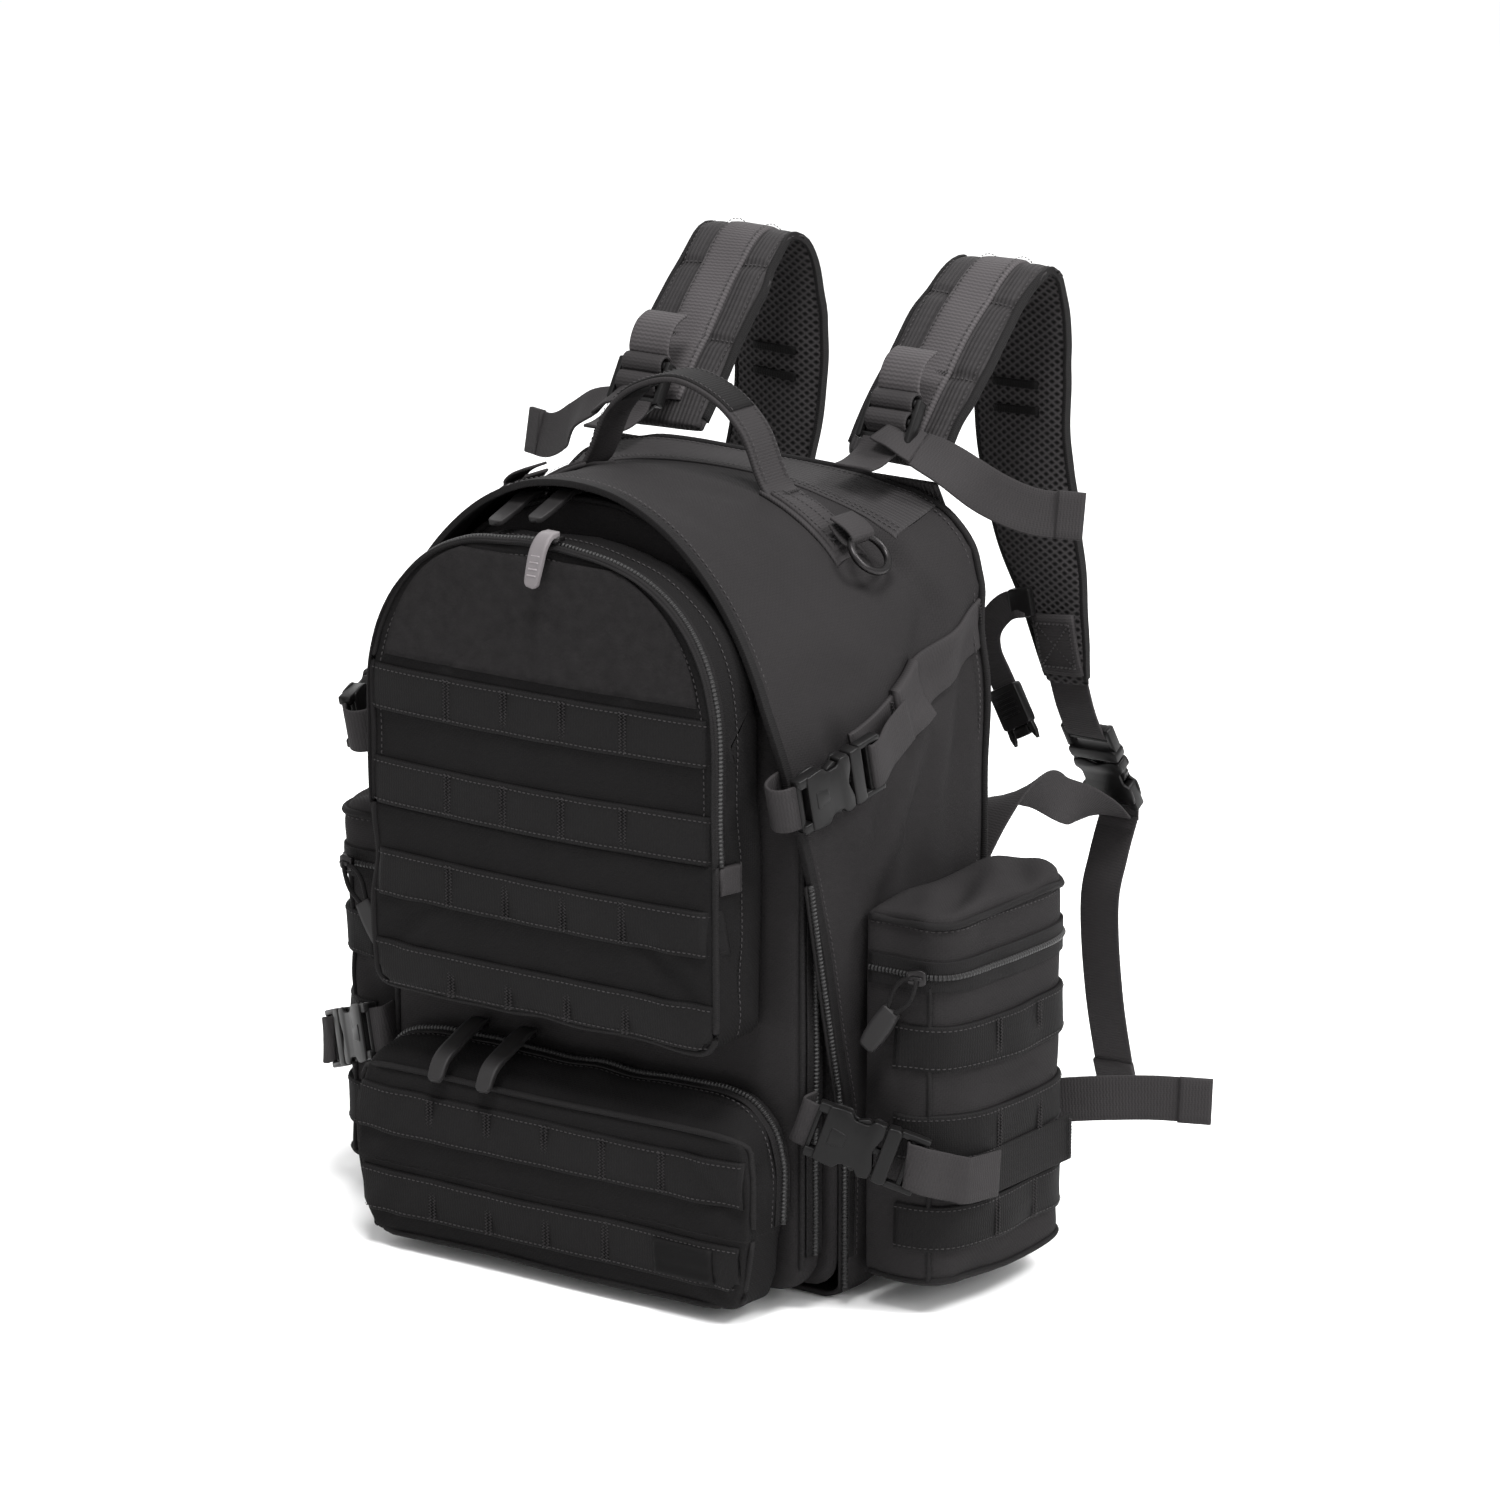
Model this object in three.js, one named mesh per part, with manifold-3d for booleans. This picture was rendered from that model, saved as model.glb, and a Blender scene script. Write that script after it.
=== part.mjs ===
// Trauma backpack: a main shell with two nested front doors, two front pouches, two side pouches,
// compression straps with side-release buckles, a carry handle and two padded shoulder straps.
// Millimetres, +Z up, the front of the pack faces -Y and the wearer's side faces +Y.
// The floor is z = 0 and the pack is mirror-symmetric about x = 0.
import * as THREE from 'three';
import { mergeVertices } from 'three/addons/utils/BufferGeometryUtils.js';
import Module from 'manifold-3d';

const wasm = await Module();
wasm.setup();

// Driving dimensions.
const GAP = 0.5;
const WALL = 3;
const WEBBING = 25;
const WEB_THICK = 1.6;
const WEB_LIFT = 0.8 + WEB_THICK / 2;
const SHELL = { half: 148, front: -105, rear: 25, wall: 4, foot: 20 };
const FLAP = { half: 139, front: -150, thick: 3 };
const DOOR = { half: 140, front: -109.8, rear: -105.8, top: 424 };
const MID = { half: 135, front: -135, rear: -110.4, top: 421, spring: 252, power: 2.12, base: 7, foot: 18 };
const UPPER = { front: -184, rear: -135.6, half: 115, flare: 0.04, base: 146, top: 408, spring: 300 };
const UPPER_ZIP_END = 250;
const LOWER = { front: -178, rear: -135.6, half: 132, base: 3, top: 123, zipEnd: 50, corner: 32 };
const SIDE = { inner: 148.5, outer: 206, front: -104, rear: 24, base: 10, zip: 187, top: 225, corner: 18 };
const BUCKLE = { female: 30, width: 32, thick: 9, male: 54, rail: 7 };
const PAD_THICK = 15;
const DEG = Math.PI / 180;

// Materials.
const MATERIALS = {
  fabric: { color: 0x4a4648, roughness: 0.85 },
  darkFabric: { color: 0x2e2c2d, roughness: 0.9 },
  webbing: { color: 0x5d5b5c, roughness: 0.8 },
  mesh: { color: 0x1a1718, roughness: 0.95 },
  plastic: { color: 0x262426, roughness: 0.4 },
  greyRubber: { color: 0x8d8c8c, roughness: 0.5 },
  metal: { color: 0x3a3a3c, roughness: 0.35, metalness: 0.9 },
  aluminium: { color: 0xa9abad, roughness: 0.4, metalness: 1 },
  sheet: { color: 0x202020, roughness: 0.5 },
};

const pack = new THREE.Group();
pack.name = 'trauma_backpack';

function addPart(name, geometry, material, position = [0, 0, 0], rotation = [0, 0, 0]) {
  const mesh = new THREE.Mesh(geometry, new THREE.MeshStandardMaterial(MATERIALS[material]));
  mesh.name = name;
  mesh.position.set(...position);
  mesh.rotation.set(...rotation);
  pack.add(mesh);
}

function mirrored(geometry) {
  const copy = geometry.index ? geometry.toNonIndexed() : geometry.clone();
  const position = copy.getAttribute('position');
  const flipped = new Float32Array(position.count * 3);
  for (let i = 0; i < position.count; i += 3) {
    [i, i + 2, i + 1].forEach((source, k) => {
      flipped[(i + k) * 3] = -position.getX(source);
      flipped[(i + k) * 3 + 1] = position.getY(source);
      flipped[(i + k) * 3 + 2] = position.getZ(source);
    });
  }
  const result = new THREE.BufferGeometry();
  result.setAttribute('position', new THREE.BufferAttribute(flipped, 3));
  return mergeVertices(result, 1e-4);
}

// Adds the right-hand piece and its mirror image.
function addPair(name, geometry, material, position = [0, 0, 0], rotation = [0, 0, 0]) {
  const [x, y, z] = position;
  const [rx, ry, rz] = rotation;
  addPart(`${name}_right`, geometry, material, position, rotation);
  addPart(`${name}_left`, mirrored(geometry), material, [-x, y, z], [rx, -ry, -rz]);
}

// Booleans.
function solid(geometry) {
  const bare = new THREE.BufferGeometry();
  bare.setAttribute('position', geometry.getAttribute('position'));
  if (geometry.index) bare.setIndex(geometry.index);
  const merged = mergeVertices(bare, 1e-4);
  return new wasm.Manifold(new wasm.Mesh({
    numProp: 3,
    vertProperties: new Float32Array(merged.getAttribute('position').array),
    triVerts: new Uint32Array(merged.index.array),
  }));
}

function surface(manifold) {
  const mesh = manifold.getMesh();
  const geometry = new THREE.BufferGeometry();
  geometry.setAttribute('position', new THREE.BufferAttribute(mesh.vertProperties, 3));
  geometry.setIndex(new THREE.BufferAttribute(mesh.triVerts, 1));
  return geometry;
}

function join(first, ...others) {
  return surface(others.reduce((sum, other) => sum.add(solid(other)), solid(first)));
}

function cut(first, ...others) {
  return surface(others.reduce((rest, other) => rest.subtract(solid(other)), solid(first)));
}

function common(first, ...others) {
  return surface(others.reduce((part, other) => part.intersect(solid(other)), solid(first)));
}

// Basic solids.
function box(x0, x1, y0, y1, z0, z1) {
  const geometry = new THREE.BoxGeometry(x1 - x0, y1 - y0, z1 - z0);
  return geometry.translate((x0 + x1) / 2, (y0 + y1) / 2, (z0 + z1) / 2);
}

// An outline of [y, z] points extruded along X.
function sideways(points, x0, x1) {
  const shape = new THREE.Shape(points.map(([y, z]) => new THREE.Vector2(y, z)));
  const geometry = new THREE.ExtrudeGeometry(shape, { depth: x1 - x0, bevelEnabled: false });
  const turn = new THREE.Matrix4().makeBasis(
    new THREE.Vector3(0, 1, 0), new THREE.Vector3(0, 0, 1), new THREE.Vector3(1, 0, 0));
  return geometry.applyMatrix4(turn).translate(x0, 0, 0);
}

// A shape drawn in plan (x, y) extruded along Z.
function upright(shape, z0, z1) {
  const settings = { depth: z1 - z0, bevelEnabled: false, curveSegments: 6 };
  return new THREE.ExtrudeGeometry(shape, settings).translate(0, 0, z0);
}

// A closed skin through equal rings of points, with a fan on each end.
function loft(rings) {
  const count = rings[0].length;
  const points = rings.flat();
  const index = [];
  for (let i = 0; i + 1 < rings.length; i += 1) {
    for (let j = 0; j < count; j += 1) {
      const a = i * count + j;
      const b = i * count + (j + 1) % count;
      index.push(a, b, b + count, a, b + count, a + count);
    }
  }
  for (const [ring, start] of [[rings[0], 0], [rings.at(-1), (rings.length - 1) * count]]) {
    const middle = ring.reduce((sum, p) => sum.add(p), new THREE.Vector3()).divideScalar(count);
    points.push(middle);
    for (let j = 0; j < count; j += 1) {
      const pair = [start + j, start + (j + 1) % count];
      if (start === 0) pair.reverse();
      index.push(points.length - 1, ...pair);
    }
  }
  let volume = 0;
  for (let i = 0; i < index.length; i += 3) {
    const [a, b, c] = [points[index[i]], points[index[i + 1]], points[index[i + 2]]];
    volume += a.dot(new THREE.Vector3().crossVectors(b, c));
  }
  if (volume < 0) index.reverse();
  const geometry = new THREE.BufferGeometry().setFromPoints(points);
  geometry.setIndex(index);
  return geometry;
}

// One cross-section of the pack: rounded feet, straight sides and a superellipse arch.
function archRing(y, { half, base, spring, top, power, foot }) {
  const right = [];
  for (const angle of [0, 30, 60, 90]) {
    const sine = Math.sin(angle * DEG);
    const cosine = Math.cos(angle * DEG);
    right.push([half - foot + foot * sine, base + foot - foot * cosine]);
  }
  const steps = 11;
  for (let i = 0; i < steps; i += 1) {
    const angle = (i / steps) * 90 * DEG;
    const x = half * Math.cos(angle) ** (2 / power);
    right.push([x, spring + (top - spring) * Math.sin(angle) ** (2 / power)]);
  }
  const left = right.map(([x, z]) => [-x, z]).reverse();
  return [...right, [0, top], ...left].map(([x, z]) => new THREE.Vector3(x, y, z));
}

// The pack's arch grows squarer and lower from the flap's free edge to the wearer's side.
function packSection(y, inset = 0) {
  const t = Math.max(0, (y - FLAP.front) / (SHELL.rear - FLAP.front));
  const ahead = Math.max(0, (y - SHELL.front) / (FLAP.front - SHELL.front));
  return {
    half: SHELL.half + (FLAP.half - SHELL.half) * ahead ** 1.5 - inset,
    base: inset,
    spring: 245 + 85 * t,
    top: 438 - 17 * t ** 0.6 - inset,
    power: 2.05 + 1.95 * t ** 4,
    foot: SHELL.foot - inset,
  };
}

function packBody(stations, inset) {
  return loft(stations.map((y) => archRing(y, packSection(y, inset))));
}

// Height of the pack's outer skin over a place on its top.
function skinHeight(x, y) {
  const { half, spring, top, power } = packSection(y);
  return spring + (top - spring) * (1 - (Math.abs(x) / half) ** power) ** (1 / power);
}

function steadyArch(y0, y1, section) {
  return loft([archRing(y0, section), archRing(y1, section)]);
}

// A flat strip through stations {at, across, width, thick}, smoothed by a spline.
function ribbon(stations, steps = 12) {
  const path = new THREE.CatmullRomCurve3(stations.map((s) => new THREE.Vector3(...s.at)));
  const side = new THREE.CatmullRomCurve3(stations.map((s) => new THREE.Vector3(...s.across)));
  const size = new THREE.CatmullRomCurve3(
    stations.map((s) => new THREE.Vector3(s.width ?? WEBBING, s.thick ?? WEB_THICK, 0)));
  const rings = [];
  for (let i = 0; i <= steps; i += 1) {
    const t = i / steps;
    const centre = path.getPoint(t);
    const tangent = path.getTangent(t);
    const across = side.getPoint(t);
    across.addScaledVector(tangent, -across.dot(tangent)).normalize();
    const normal = new THREE.Vector3().crossVectors(tangent, across);
    const { x: width, y: thick } = size.getPoint(t);
    rings.push([[-1, -1], [1, -1], [1, 1], [-1, 1]].map(([u, v]) => centre.clone()
      .addScaledVector(across, u * width / 2)
      .addScaledVector(normal, v * thick / 2)));
  }
  return loft(rings);
}

// Stations that share one across direction.
function along(points, across, extra = {}) {
  return points.map((at) => ({ at, across, ...extra }));
}

// Main shell, storm flap and the stiffening inside.
function buildShell() {
  const outer = packBody([SHELL.front, -60, -20, SHELL.rear], 0);
  const inner = packBody([SHELL.front - 1, -60, -20, SHELL.rear - SHELL.wall], SHELL.wall);
  addPart('main_shell', cut(outer, inner), 'fabric');

  const flapRear = SHELL.front - GAP;
  const hood = packBody([FLAP.front, -135, -120, flapRear], 0);
  const hollow = packBody([FLAP.front - 1, -135, -120, flapRear + 1], FLAP.thick);
  const recess = [[-200, -50], [flapRear + 1, -50], [flapRear + 1, 97], [-143, 272], [-151, 330], [-200, 330]];
  addPart('storm_flap', cut(hood, hollow, sideways(recess, -200, 200)), 'fabric');

  const padOutline = { half: 118, base: 40, spring: 330, top: 392, power: 3, foot: 18 };
  addPart('back_pad', steadyArch(SHELL.rear + GAP, SHELL.rear + 12, padOutline), 'mesh');
  addPart('frame_sheet', box(-120, 120, 18.4, 20.4, 12, 370), 'sheet');
  addPart('frame_stay', box(-12, 12, 14.8, 17.8, 14, 368), 'aluminium');
}

// Nested doors: the main compartment's door and the middle compartment on it.
function buildDoors() {
  const door = { ...MID, half: DOOR.half, top: DOOR.top };
  addPart('main_door', steadyArch(DOOR.front, DOOR.rear, door), 'darkFabric');
  const hollow = { ...MID, half: MID.half - WALL, base: MID.base + WALL, top: MID.top - WALL,
    foot: MID.foot - WALL };
  const tub = cut(steadyArch(MID.front, MID.rear, MID),
    steadyArch(MID.front + WALL, MID.rear + 1, hollow));
  addPart('mid_compartment', tub, 'fabric');
}

// The upper pouch widens a little toward its rear.
function upperBlock(inset) {
  const section = (flare) => ({
    half: UPPER.half * flare - inset,
    base: UPPER.base + inset,
    spring: UPPER.spring,
    top: UPPER.top - inset,
    power: 2.6,
    foot: 14 - inset,
  });
  return loft([archRing(UPPER.front + inset, section(1)),
    archRing(UPPER.rear - inset, section(1 + UPPER.flare))]);
}

function buildUpperPouch() {
  const rim = UPPER.front + 7.5;
  const skin = cut(upperBlock(0), upperBlock(WALL));
  const above = box(-200, 200, UPPER.front - 1, rim + GAP, UPPER_ZIP_END, 450);
  const lid = box(-200, 200, UPPER.front - 1, rim, UPPER_ZIP_END + GAP, 450);
  addPart('upper_pouch', cut(skin, above), 'fabric');
  addPart('upper_pouch_flap', common(skin, lid), 'darkFabric');
}

// The lower pouch: a box with a rounded front edge and rounded ends.
function lowerBlock(inset) {
  const front = LOWER.front + inset;
  const rear = LOWER.rear - inset;
  const base = LOWER.base + inset;
  const top = LOWER.top - inset;
  const profile = [[rear, base], [front + 7, base], [front, base + 8], [front, 100],
    [front + 3, 107 - inset / 2], [front + 9, 112 - inset / 2], [-145, top], [rear, top]];
  const outline = new THREE.Shape();
  const half = LOWER.half - inset;
  const { corner } = LOWER;
  outline.moveTo(-half + 8, base);
  outline.lineTo(half - 8, base);
  outline.lineTo(half, base + 45);
  outline.lineTo(half, top - corner);
  outline.absarc(half - corner, top - corner, corner, 0, Math.PI / 2, false);
  outline.absarc(-half + corner, top - corner, corner, Math.PI / 2, Math.PI, false);
  outline.lineTo(-half, base + 45);
  const settings = { depth: rear - front, bevelEnabled: false, curveSegments: 5 };
  const slab = new THREE.ExtrudeGeometry(outline, settings).rotateX(Math.PI / 2).translate(0, rear, 0);
  return common(slab, sideways(profile, -half - 1, half + 1));
}

function buildLowerPouch() {
  const seam = -143;
  const skin = cut(lowerBlock(0), lowerBlock(WALL));
  const above = box(-200, 200, LOWER.front - 1, seam + GAP, LOWER.zipEnd, 200);
  const lid = box(-200, 200, LOWER.front - 1, seam, LOWER.zipEnd + GAP, 200);
  addPart('lower_pouch', cut(skin, above), 'fabric');
  addPart('lower_pouch_flap', common(skin, lid), 'darkFabric');
}

// Side pouches with lids that hinge at the shell.
function sidePlan(inset, inner) {
  const { outer, front, rear, corner } = SIDE;
  const round = corner - inset;
  const shape = new THREE.Shape();
  shape.moveTo(inner, front + inset);
  shape.lineTo(outer - corner, front + inset);
  shape.absarc(outer - corner, front + corner, round, -Math.PI / 2, 0, false);
  shape.lineTo(outer - inset, rear - corner);
  shape.absarc(outer - corner, rear - corner, round, 0, Math.PI / 2, false);
  shape.lineTo(inner, rear - inset);
  return shape;
}

function buildSidePouches() {
  const { inner, base, zip, top } = SIDE;
  const tub = cut(upright(sidePlan(0, inner), base, zip),
    upright(sidePlan(WALL, inner + WALL), base + WALL, zip + 1));
  addPair('side_pouch', tub, 'fabric');
  const hinge = inner + 4;
  const cap = cut(upright(sidePlan(0, hinge), zip + GAP, top),
    upright(sidePlan(WALL, hinge - 1), zip - 1, top - WALL),
    sideways([[SIDE.front - 1, top - 9], [SIDE.front + 10, top + 1], [SIDE.front - 1, top + 1]], 100, 250));
  addPair('side_pouch_lid', cap, 'fabric');
}

// Side-release buckle: X runs from the female's webbing to the male's, Z is its thickness.
function femaleBuckle() {
  const half = BUCKLE.width / 2;
  const deep = BUCKLE.thick / 2;
  return cut(box(-BUCKLE.rail, BUCKLE.female, -half, half, -deep, deep),
    box(4, BUCKLE.female + 1, -half + 3.4, half - 3.4, -deep + 1.6, deep - 1.6),
    box(12, 22, -half - 1, half + 1, -deep + 1.6, deep - 1.6),
    box(-4.6, -0.8, -half + 3, half - 3, -deep - 1, deep + 1));
}

function maleBuckle() {
  const half = BUCKLE.width / 2;
  const deep = BUCKLE.thick / 2;
  const start = BUCKLE.female + GAP;
  const frame = cut(box(start, BUCKLE.male, -half, half, -deep + 1.5, deep - 1.5),
    box(start + 8.5, start + 13, -half + 3, half - 3, -deep, deep),
    box(start + 16, start + 20.5, -half + 3, half - 3, -deep, deep));
  return join(frame,
    box(start, start + 7, -half, half, -deep, deep),
    box(15, start + 1, -half + 4.2, -half + 8, -deep + 2.2, deep - 2.2),
    box(15, start + 1, half - 8, half - 4.2, -deep + 2.2, deep - 2.2),
    box(20, start + 1, -1.5, 1.5, -deep + 2.2, deep - 2.2));
}

// The rotation that takes local X to a direction and local Z to an outward normal.
function aim(direction, outward) {
  const x = new THREE.Vector3(...direction).normalize();
  const z = new THREE.Vector3(...outward);
  z.addScaledVector(x, -z.dot(x)).normalize();
  const y = new THREE.Vector3().crossVectors(z, x);
  const angles = new THREE.Euler().setFromRotationMatrix(new THREE.Matrix4().makeBasis(x, y, z));
  return [angles.x, angles.y, angles.z];
}

function step(start, direction, distance) {
  const way = new THREE.Vector3(...direction).normalize().multiplyScalar(distance);
  return [start[0] + way.x, start[1] + way.y, start[2] + way.z];
}

// The female's anchor webbing comes round from the middle compartment's side in local X and Z.
function anchoredFemale(reach, offset) {
  const loop = along([[reach[0], 0, offset[0]], [reach[1], 0, offset[1]], [reach[2], 0, offset[2]],
    [-BUCKLE.rail + 2, 0, 0]], [0, 1, 0], { width: 24 });
  return join(femaleBuckle(), ribbon(loop, 10));
}

function buildUpperCompression() {
  const slope = 18 * DEG;
  const way = [0.16, Math.cos(slope), Math.sin(slope)];
  const anchor = [147.8, -148.6, 284];
  const turn = aim(way, [1, 0, 0]);
  const female = anchoredFemale([5, -10, -16], [-18, -16, -7]);
  addPair('buckle_female_upper', female, 'plastic', anchor, turn);
  addPair('buckle_male_upper', maleBuckle(), 'plastic', anchor, turn);
  const lay = [0, -Math.sin(slope), Math.cos(slope)];
  const x = SHELL.half + WEB_LIFT;
  const strip = [50, 95, 140, 176].map((s) => [x, step(anchor, way, s)[1], step(anchor, way, s)[2]]);
  addPair('upper_compression_web', ribbon(along(strip, lay), 6), 'webbing');
}

function buildLowerCompression() {
  const anchor = [150.5, -136.5, 105];
  const way = [0.823, 0.454, -0.34];
  const turn = aim(way, [0.48, -0.877, 0]);
  addPair('buckle_female_lower', anchoredFemale([-13, -10.5, -8], [-2.6, -2.6, -1.5]), 'plastic', anchor, turn);
  addPair('buckle_male_lower', maleBuckle(), 'plastic', anchor, turn);
  const { outer, front, corner } = SIDE;
  const radius = corner + WEB_LIFT;
  const points = [[outer + WEB_LIFT, 2, 75], [outer + WEB_LIFT, -40, 75]];
  for (const angle of [0, -20, -40, -61]) {
    const x = outer - corner + radius * Math.cos(angle * DEG);
    points.push([x, front + corner + radius * Math.sin(angle * DEG), 75 - angle * 0.12]);
  }
  points.push(step(points.at(-1), way, -17));
  addPair('lower_compression_web', ribbon(along(points, [0, 0, 1]), 20), 'webbing');
}

// Carry handle, its sewn webbing and the ring at each end of it.
function buildHandle() {
  const y = -50;
  const foot = 62;
  const rise = skinHeight(foot, y) + 6.5;
  const arch = [[-foot, y, rise], [-54, y, rise + 9], [-32, y, 460], [0, y, 471], [32, y, 460],
    [54, y, rise + 9], [foot, y, rise]];
  addPart('carry_handle', ribbon(along(arch, [0, 1, 0], { thick: 3 }), 20), 'webbing');
  const lay = [64.5, 78, 92, 105].map((x) => [x, y, skinHeight(x, y) + 6]);
  addPair('handle_anchor_web', ribbon(along(lay, [0, 1, 0]), 6), 'webbing');
  const ring = new THREE.TorusGeometry(11.5, 2, 6, 20).scale(1, 1.1, 1);
  const drop = (skinHeight(122, y) - skinHeight(112, y)) / 10;
  addPair('d_ring', ring, 'metal', [118, y, skinHeight(118, y) + 10], [0, -Math.atan(drop), 0]);
}

// Shoulder strap: a padded arch from the pack's top edge over and down behind.
const STRAP_LINE = [
  { at: [78, 29, 420], width: 70 },
  { at: [79, 56, 452], width: 70 },
  { at: [81, 90, 487], width: 70 },
  { at: [83, 118, 508], width: 70 },
  { at: [83, 136, 507], width: 70 },
  { at: [81, 147, 488], width: 69 },
  { at: [80, 150, 450], width: 67 },
  { at: [82, 150, 410], width: 64 },
  { at: [90, 150, 370], width: 61 },
  { at: [100, 152, 330], width: 50 },
  { at: [104, 157, 292], width: 38, thick: 11 },
  { at: [105, 162, 273], width: 34, thick: 8 },
];

function buildShoulderStraps() {
  const pad = STRAP_LINE.map((station) => ({ across: [1, 0, 0], thick: PAD_THICK, ...station }));
  addPair('shoulder_strap', ribbon(pad, 30), 'fabric');

  const anchor = [108, 205.5, 203];
  const way = [-0.02, -0.53, 0.85];
  const turn = aim(way, [0, 0.85, 0.53]);
  addPair('shoulder_buckle_female', femaleBuckle(), 'plastic', anchor, turn);
  addPair('shoulder_buckle_male', maleBuckle(), 'plastic', anchor, turn);

  const tail = [[107.5, 211.5, 191], [106, 203, 168], [105, 196, 140], [105, 202, 85], [106, 218, 24]];
  addPair('shoulder_tail', ribbon(along(tail, [1, 0, 0]), 12), 'webbing');

  const lower = [
    { at: [108, 202.5, 192], across: [1, 0, 0] },
    { at: [108, 182, 200], across: [0.7, 0, 0.7] },
    { at: [106, 157, 210], across: [0, 0.2, 1] },
    { at: [105, 132, 222], across: [0.5, 0, 0.87] },
    { at: [103, 95, 220], across: [1, 0, 0.1] },
    { at: [98, 60, 175], across: [1, 0, 0] },
    { at: [94, 45, 110], across: [1, 0, 0] },
    { at: [90, 41, 62], across: [1, 0, 0] },
  ];
  addPair('lower_anchor_web', ribbon(lower, 20), 'webbing');
}

// Load lifters: a ladder lock on the strap, the webbing up to it and the free tail.
function buildLoadLifters() {
  const frame = cut(box(-16, 16, -10, 10, -2.5, 2.5),
    box(-13, 13, -7, -1.6, -4, 4),
    box(-13, 13, 1.6, 7, -4, 4));
  addPair('lifter_lock', frame, 'plastic', [82, 22, 444.5], [1.02, 0, 0]);
  const web = [[82, -8, 429], [82, 2, 429], [82, 9, 430.5], [82, 13.5, 433.5]];
  addPair('load_lifter_web', ribbon(along(web, [1, 0, 0]), 6), 'webbing');
  const tail = [[101, 17, 434], [120, 20, 426], [140, 31, 411], [160, 42, 402], [182, 54, 400]];
  addPair('lifter_tail', ribbon(along(tail, [0, 0.2, 1]), 12), 'webbing');
}

// Sternum strap halves that hang from the shoulder straps, and the waist straps.
function buildBodyStraps() {
  const web = along([[70, 148.5, 305], [71, 147, 290], [77, 146, 278], [83, 146, 262]], [1, 0, 0], { width: 16 });
  const half = join(ribbon(web, 6), box(74, 93, 141, 149, 244, 268), box(61, 77, 146, 152, 296, 310));
  addPair('sternum_strap', half, 'plastic');
  const waist = [[146, 27.5, 80], [170, 32, 81], [195, 48, 83], [224, 66, 84], [251, 80, 83]];
  addPair('waist_strap', ribbon(along(waist, [0, 0, 1]), 12), 'webbing');
}

// Zip sliders with their pulls.
function buildPulls() {
  const tab = [[-176, 411.3], [-184, 411.3], [-188.5, 405], [-189.5, 395], [-190, 384]];
  const upper = ribbon(along(tab.map(([y, z]) => [8, y, z]), [1, 0, 0], { width: 12, thick: 3 }), 12);
  addPart('upper_pouch_pull', upper, 'greyRubber');
  const middle = [[-131, 3.2], [-140, 2.4], [-152, -2], [-168, -6.5]];
  for (const [side, x] of [['left', -38], ['right', -12]]) {
    const crown = MID.spring + (MID.top - MID.spring)
      * (1 - (Math.abs(x) / MID.half) ** MID.power) ** (1 / MID.power);
    const route = middle.map(([y, z]) => [x, y, crown + z]);
    const strip = ribbon(along(route, [1, 0, 0], { width: 10, thick: 3 }), 8);
    addPart(`mid_pull_${side}`, strip, 'plastic');
  }
  const lower = [[-139, 126], [-146, 125.6], [-160, 121], [-175, 114.5], [-183.5, 104]];
  for (const [side, x] of [['left', -70], ['right', -38]]) {
    const strip = ribbon(along(lower.map(([y, z]) => [x, y, z]), [1, 0, 0], { width: 11, thick: 3 }), 10);
    addPart(`lower_pouch_pull_${side}`, strip, 'plastic');
  }
  const dangle = [[187, -108.5, 187], [180, -109.5, 180], [168, -110.5, 163], [158, -111, 147]];
  addPair('side_pouch_pull', ribbon(along(dangle, [0.8, 0, -0.6], { width: 11, thick: 3 }), 8), 'plastic');
}

buildShell();
buildDoors();
buildUpperPouch();
buildLowerPouch();
buildSidePouches();
buildUpperCompression();
buildLowerCompression();
buildHandle();
buildShoulderStraps();
buildLoadLifters();
buildBodyStraps();
buildPulls();

export default pack;
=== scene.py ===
"""Visual model of a trauma backpack, built around its CAD frame.

Lengths are in millimetres until add() makes them metres.
"""
import math

import bmesh
import bpy
import numpy as np
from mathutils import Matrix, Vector, noise
from mathutils.bvhtree import BVHTree


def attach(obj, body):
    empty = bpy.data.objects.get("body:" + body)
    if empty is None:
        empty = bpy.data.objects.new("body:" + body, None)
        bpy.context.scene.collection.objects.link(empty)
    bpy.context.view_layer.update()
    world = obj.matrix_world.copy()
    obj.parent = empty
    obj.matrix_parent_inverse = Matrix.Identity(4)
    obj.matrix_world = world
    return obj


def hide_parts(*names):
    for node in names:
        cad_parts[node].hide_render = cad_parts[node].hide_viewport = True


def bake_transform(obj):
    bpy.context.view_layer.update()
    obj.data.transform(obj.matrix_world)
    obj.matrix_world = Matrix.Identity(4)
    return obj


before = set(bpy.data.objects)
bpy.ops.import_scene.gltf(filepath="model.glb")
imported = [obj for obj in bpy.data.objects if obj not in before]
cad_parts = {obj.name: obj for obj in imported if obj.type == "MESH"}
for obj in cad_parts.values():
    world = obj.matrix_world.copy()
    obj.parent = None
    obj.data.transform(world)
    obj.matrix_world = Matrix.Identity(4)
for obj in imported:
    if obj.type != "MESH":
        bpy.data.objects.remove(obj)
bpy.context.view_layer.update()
MM = 0.001
SIDES = (("right", 1), ("left", -1))
ONE_BODY = ("pack", "front", "door")
FLAP_EDGE, SHELL_FRONT, SHELL_REAR = -150.0, -105.0, 25.0
UPPER = dict(front=-184, rear=-135.6, half=115, flare=0.04, base=146, top=408, spring=300, zip=250)
LOWER = dict(front=-178, rear=-135.6, half=132, base=3, top=123, zip=50, seam=-143)
SIDE = dict(inner=148.5, outer=206, front=-104, rear=24, base=10, zip=187, top=225, corner=18)
MID = dict(front=-135, rear=-110.4, half=135, base=7, spring=252, top=421, power=2.12, foot=18)


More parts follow.
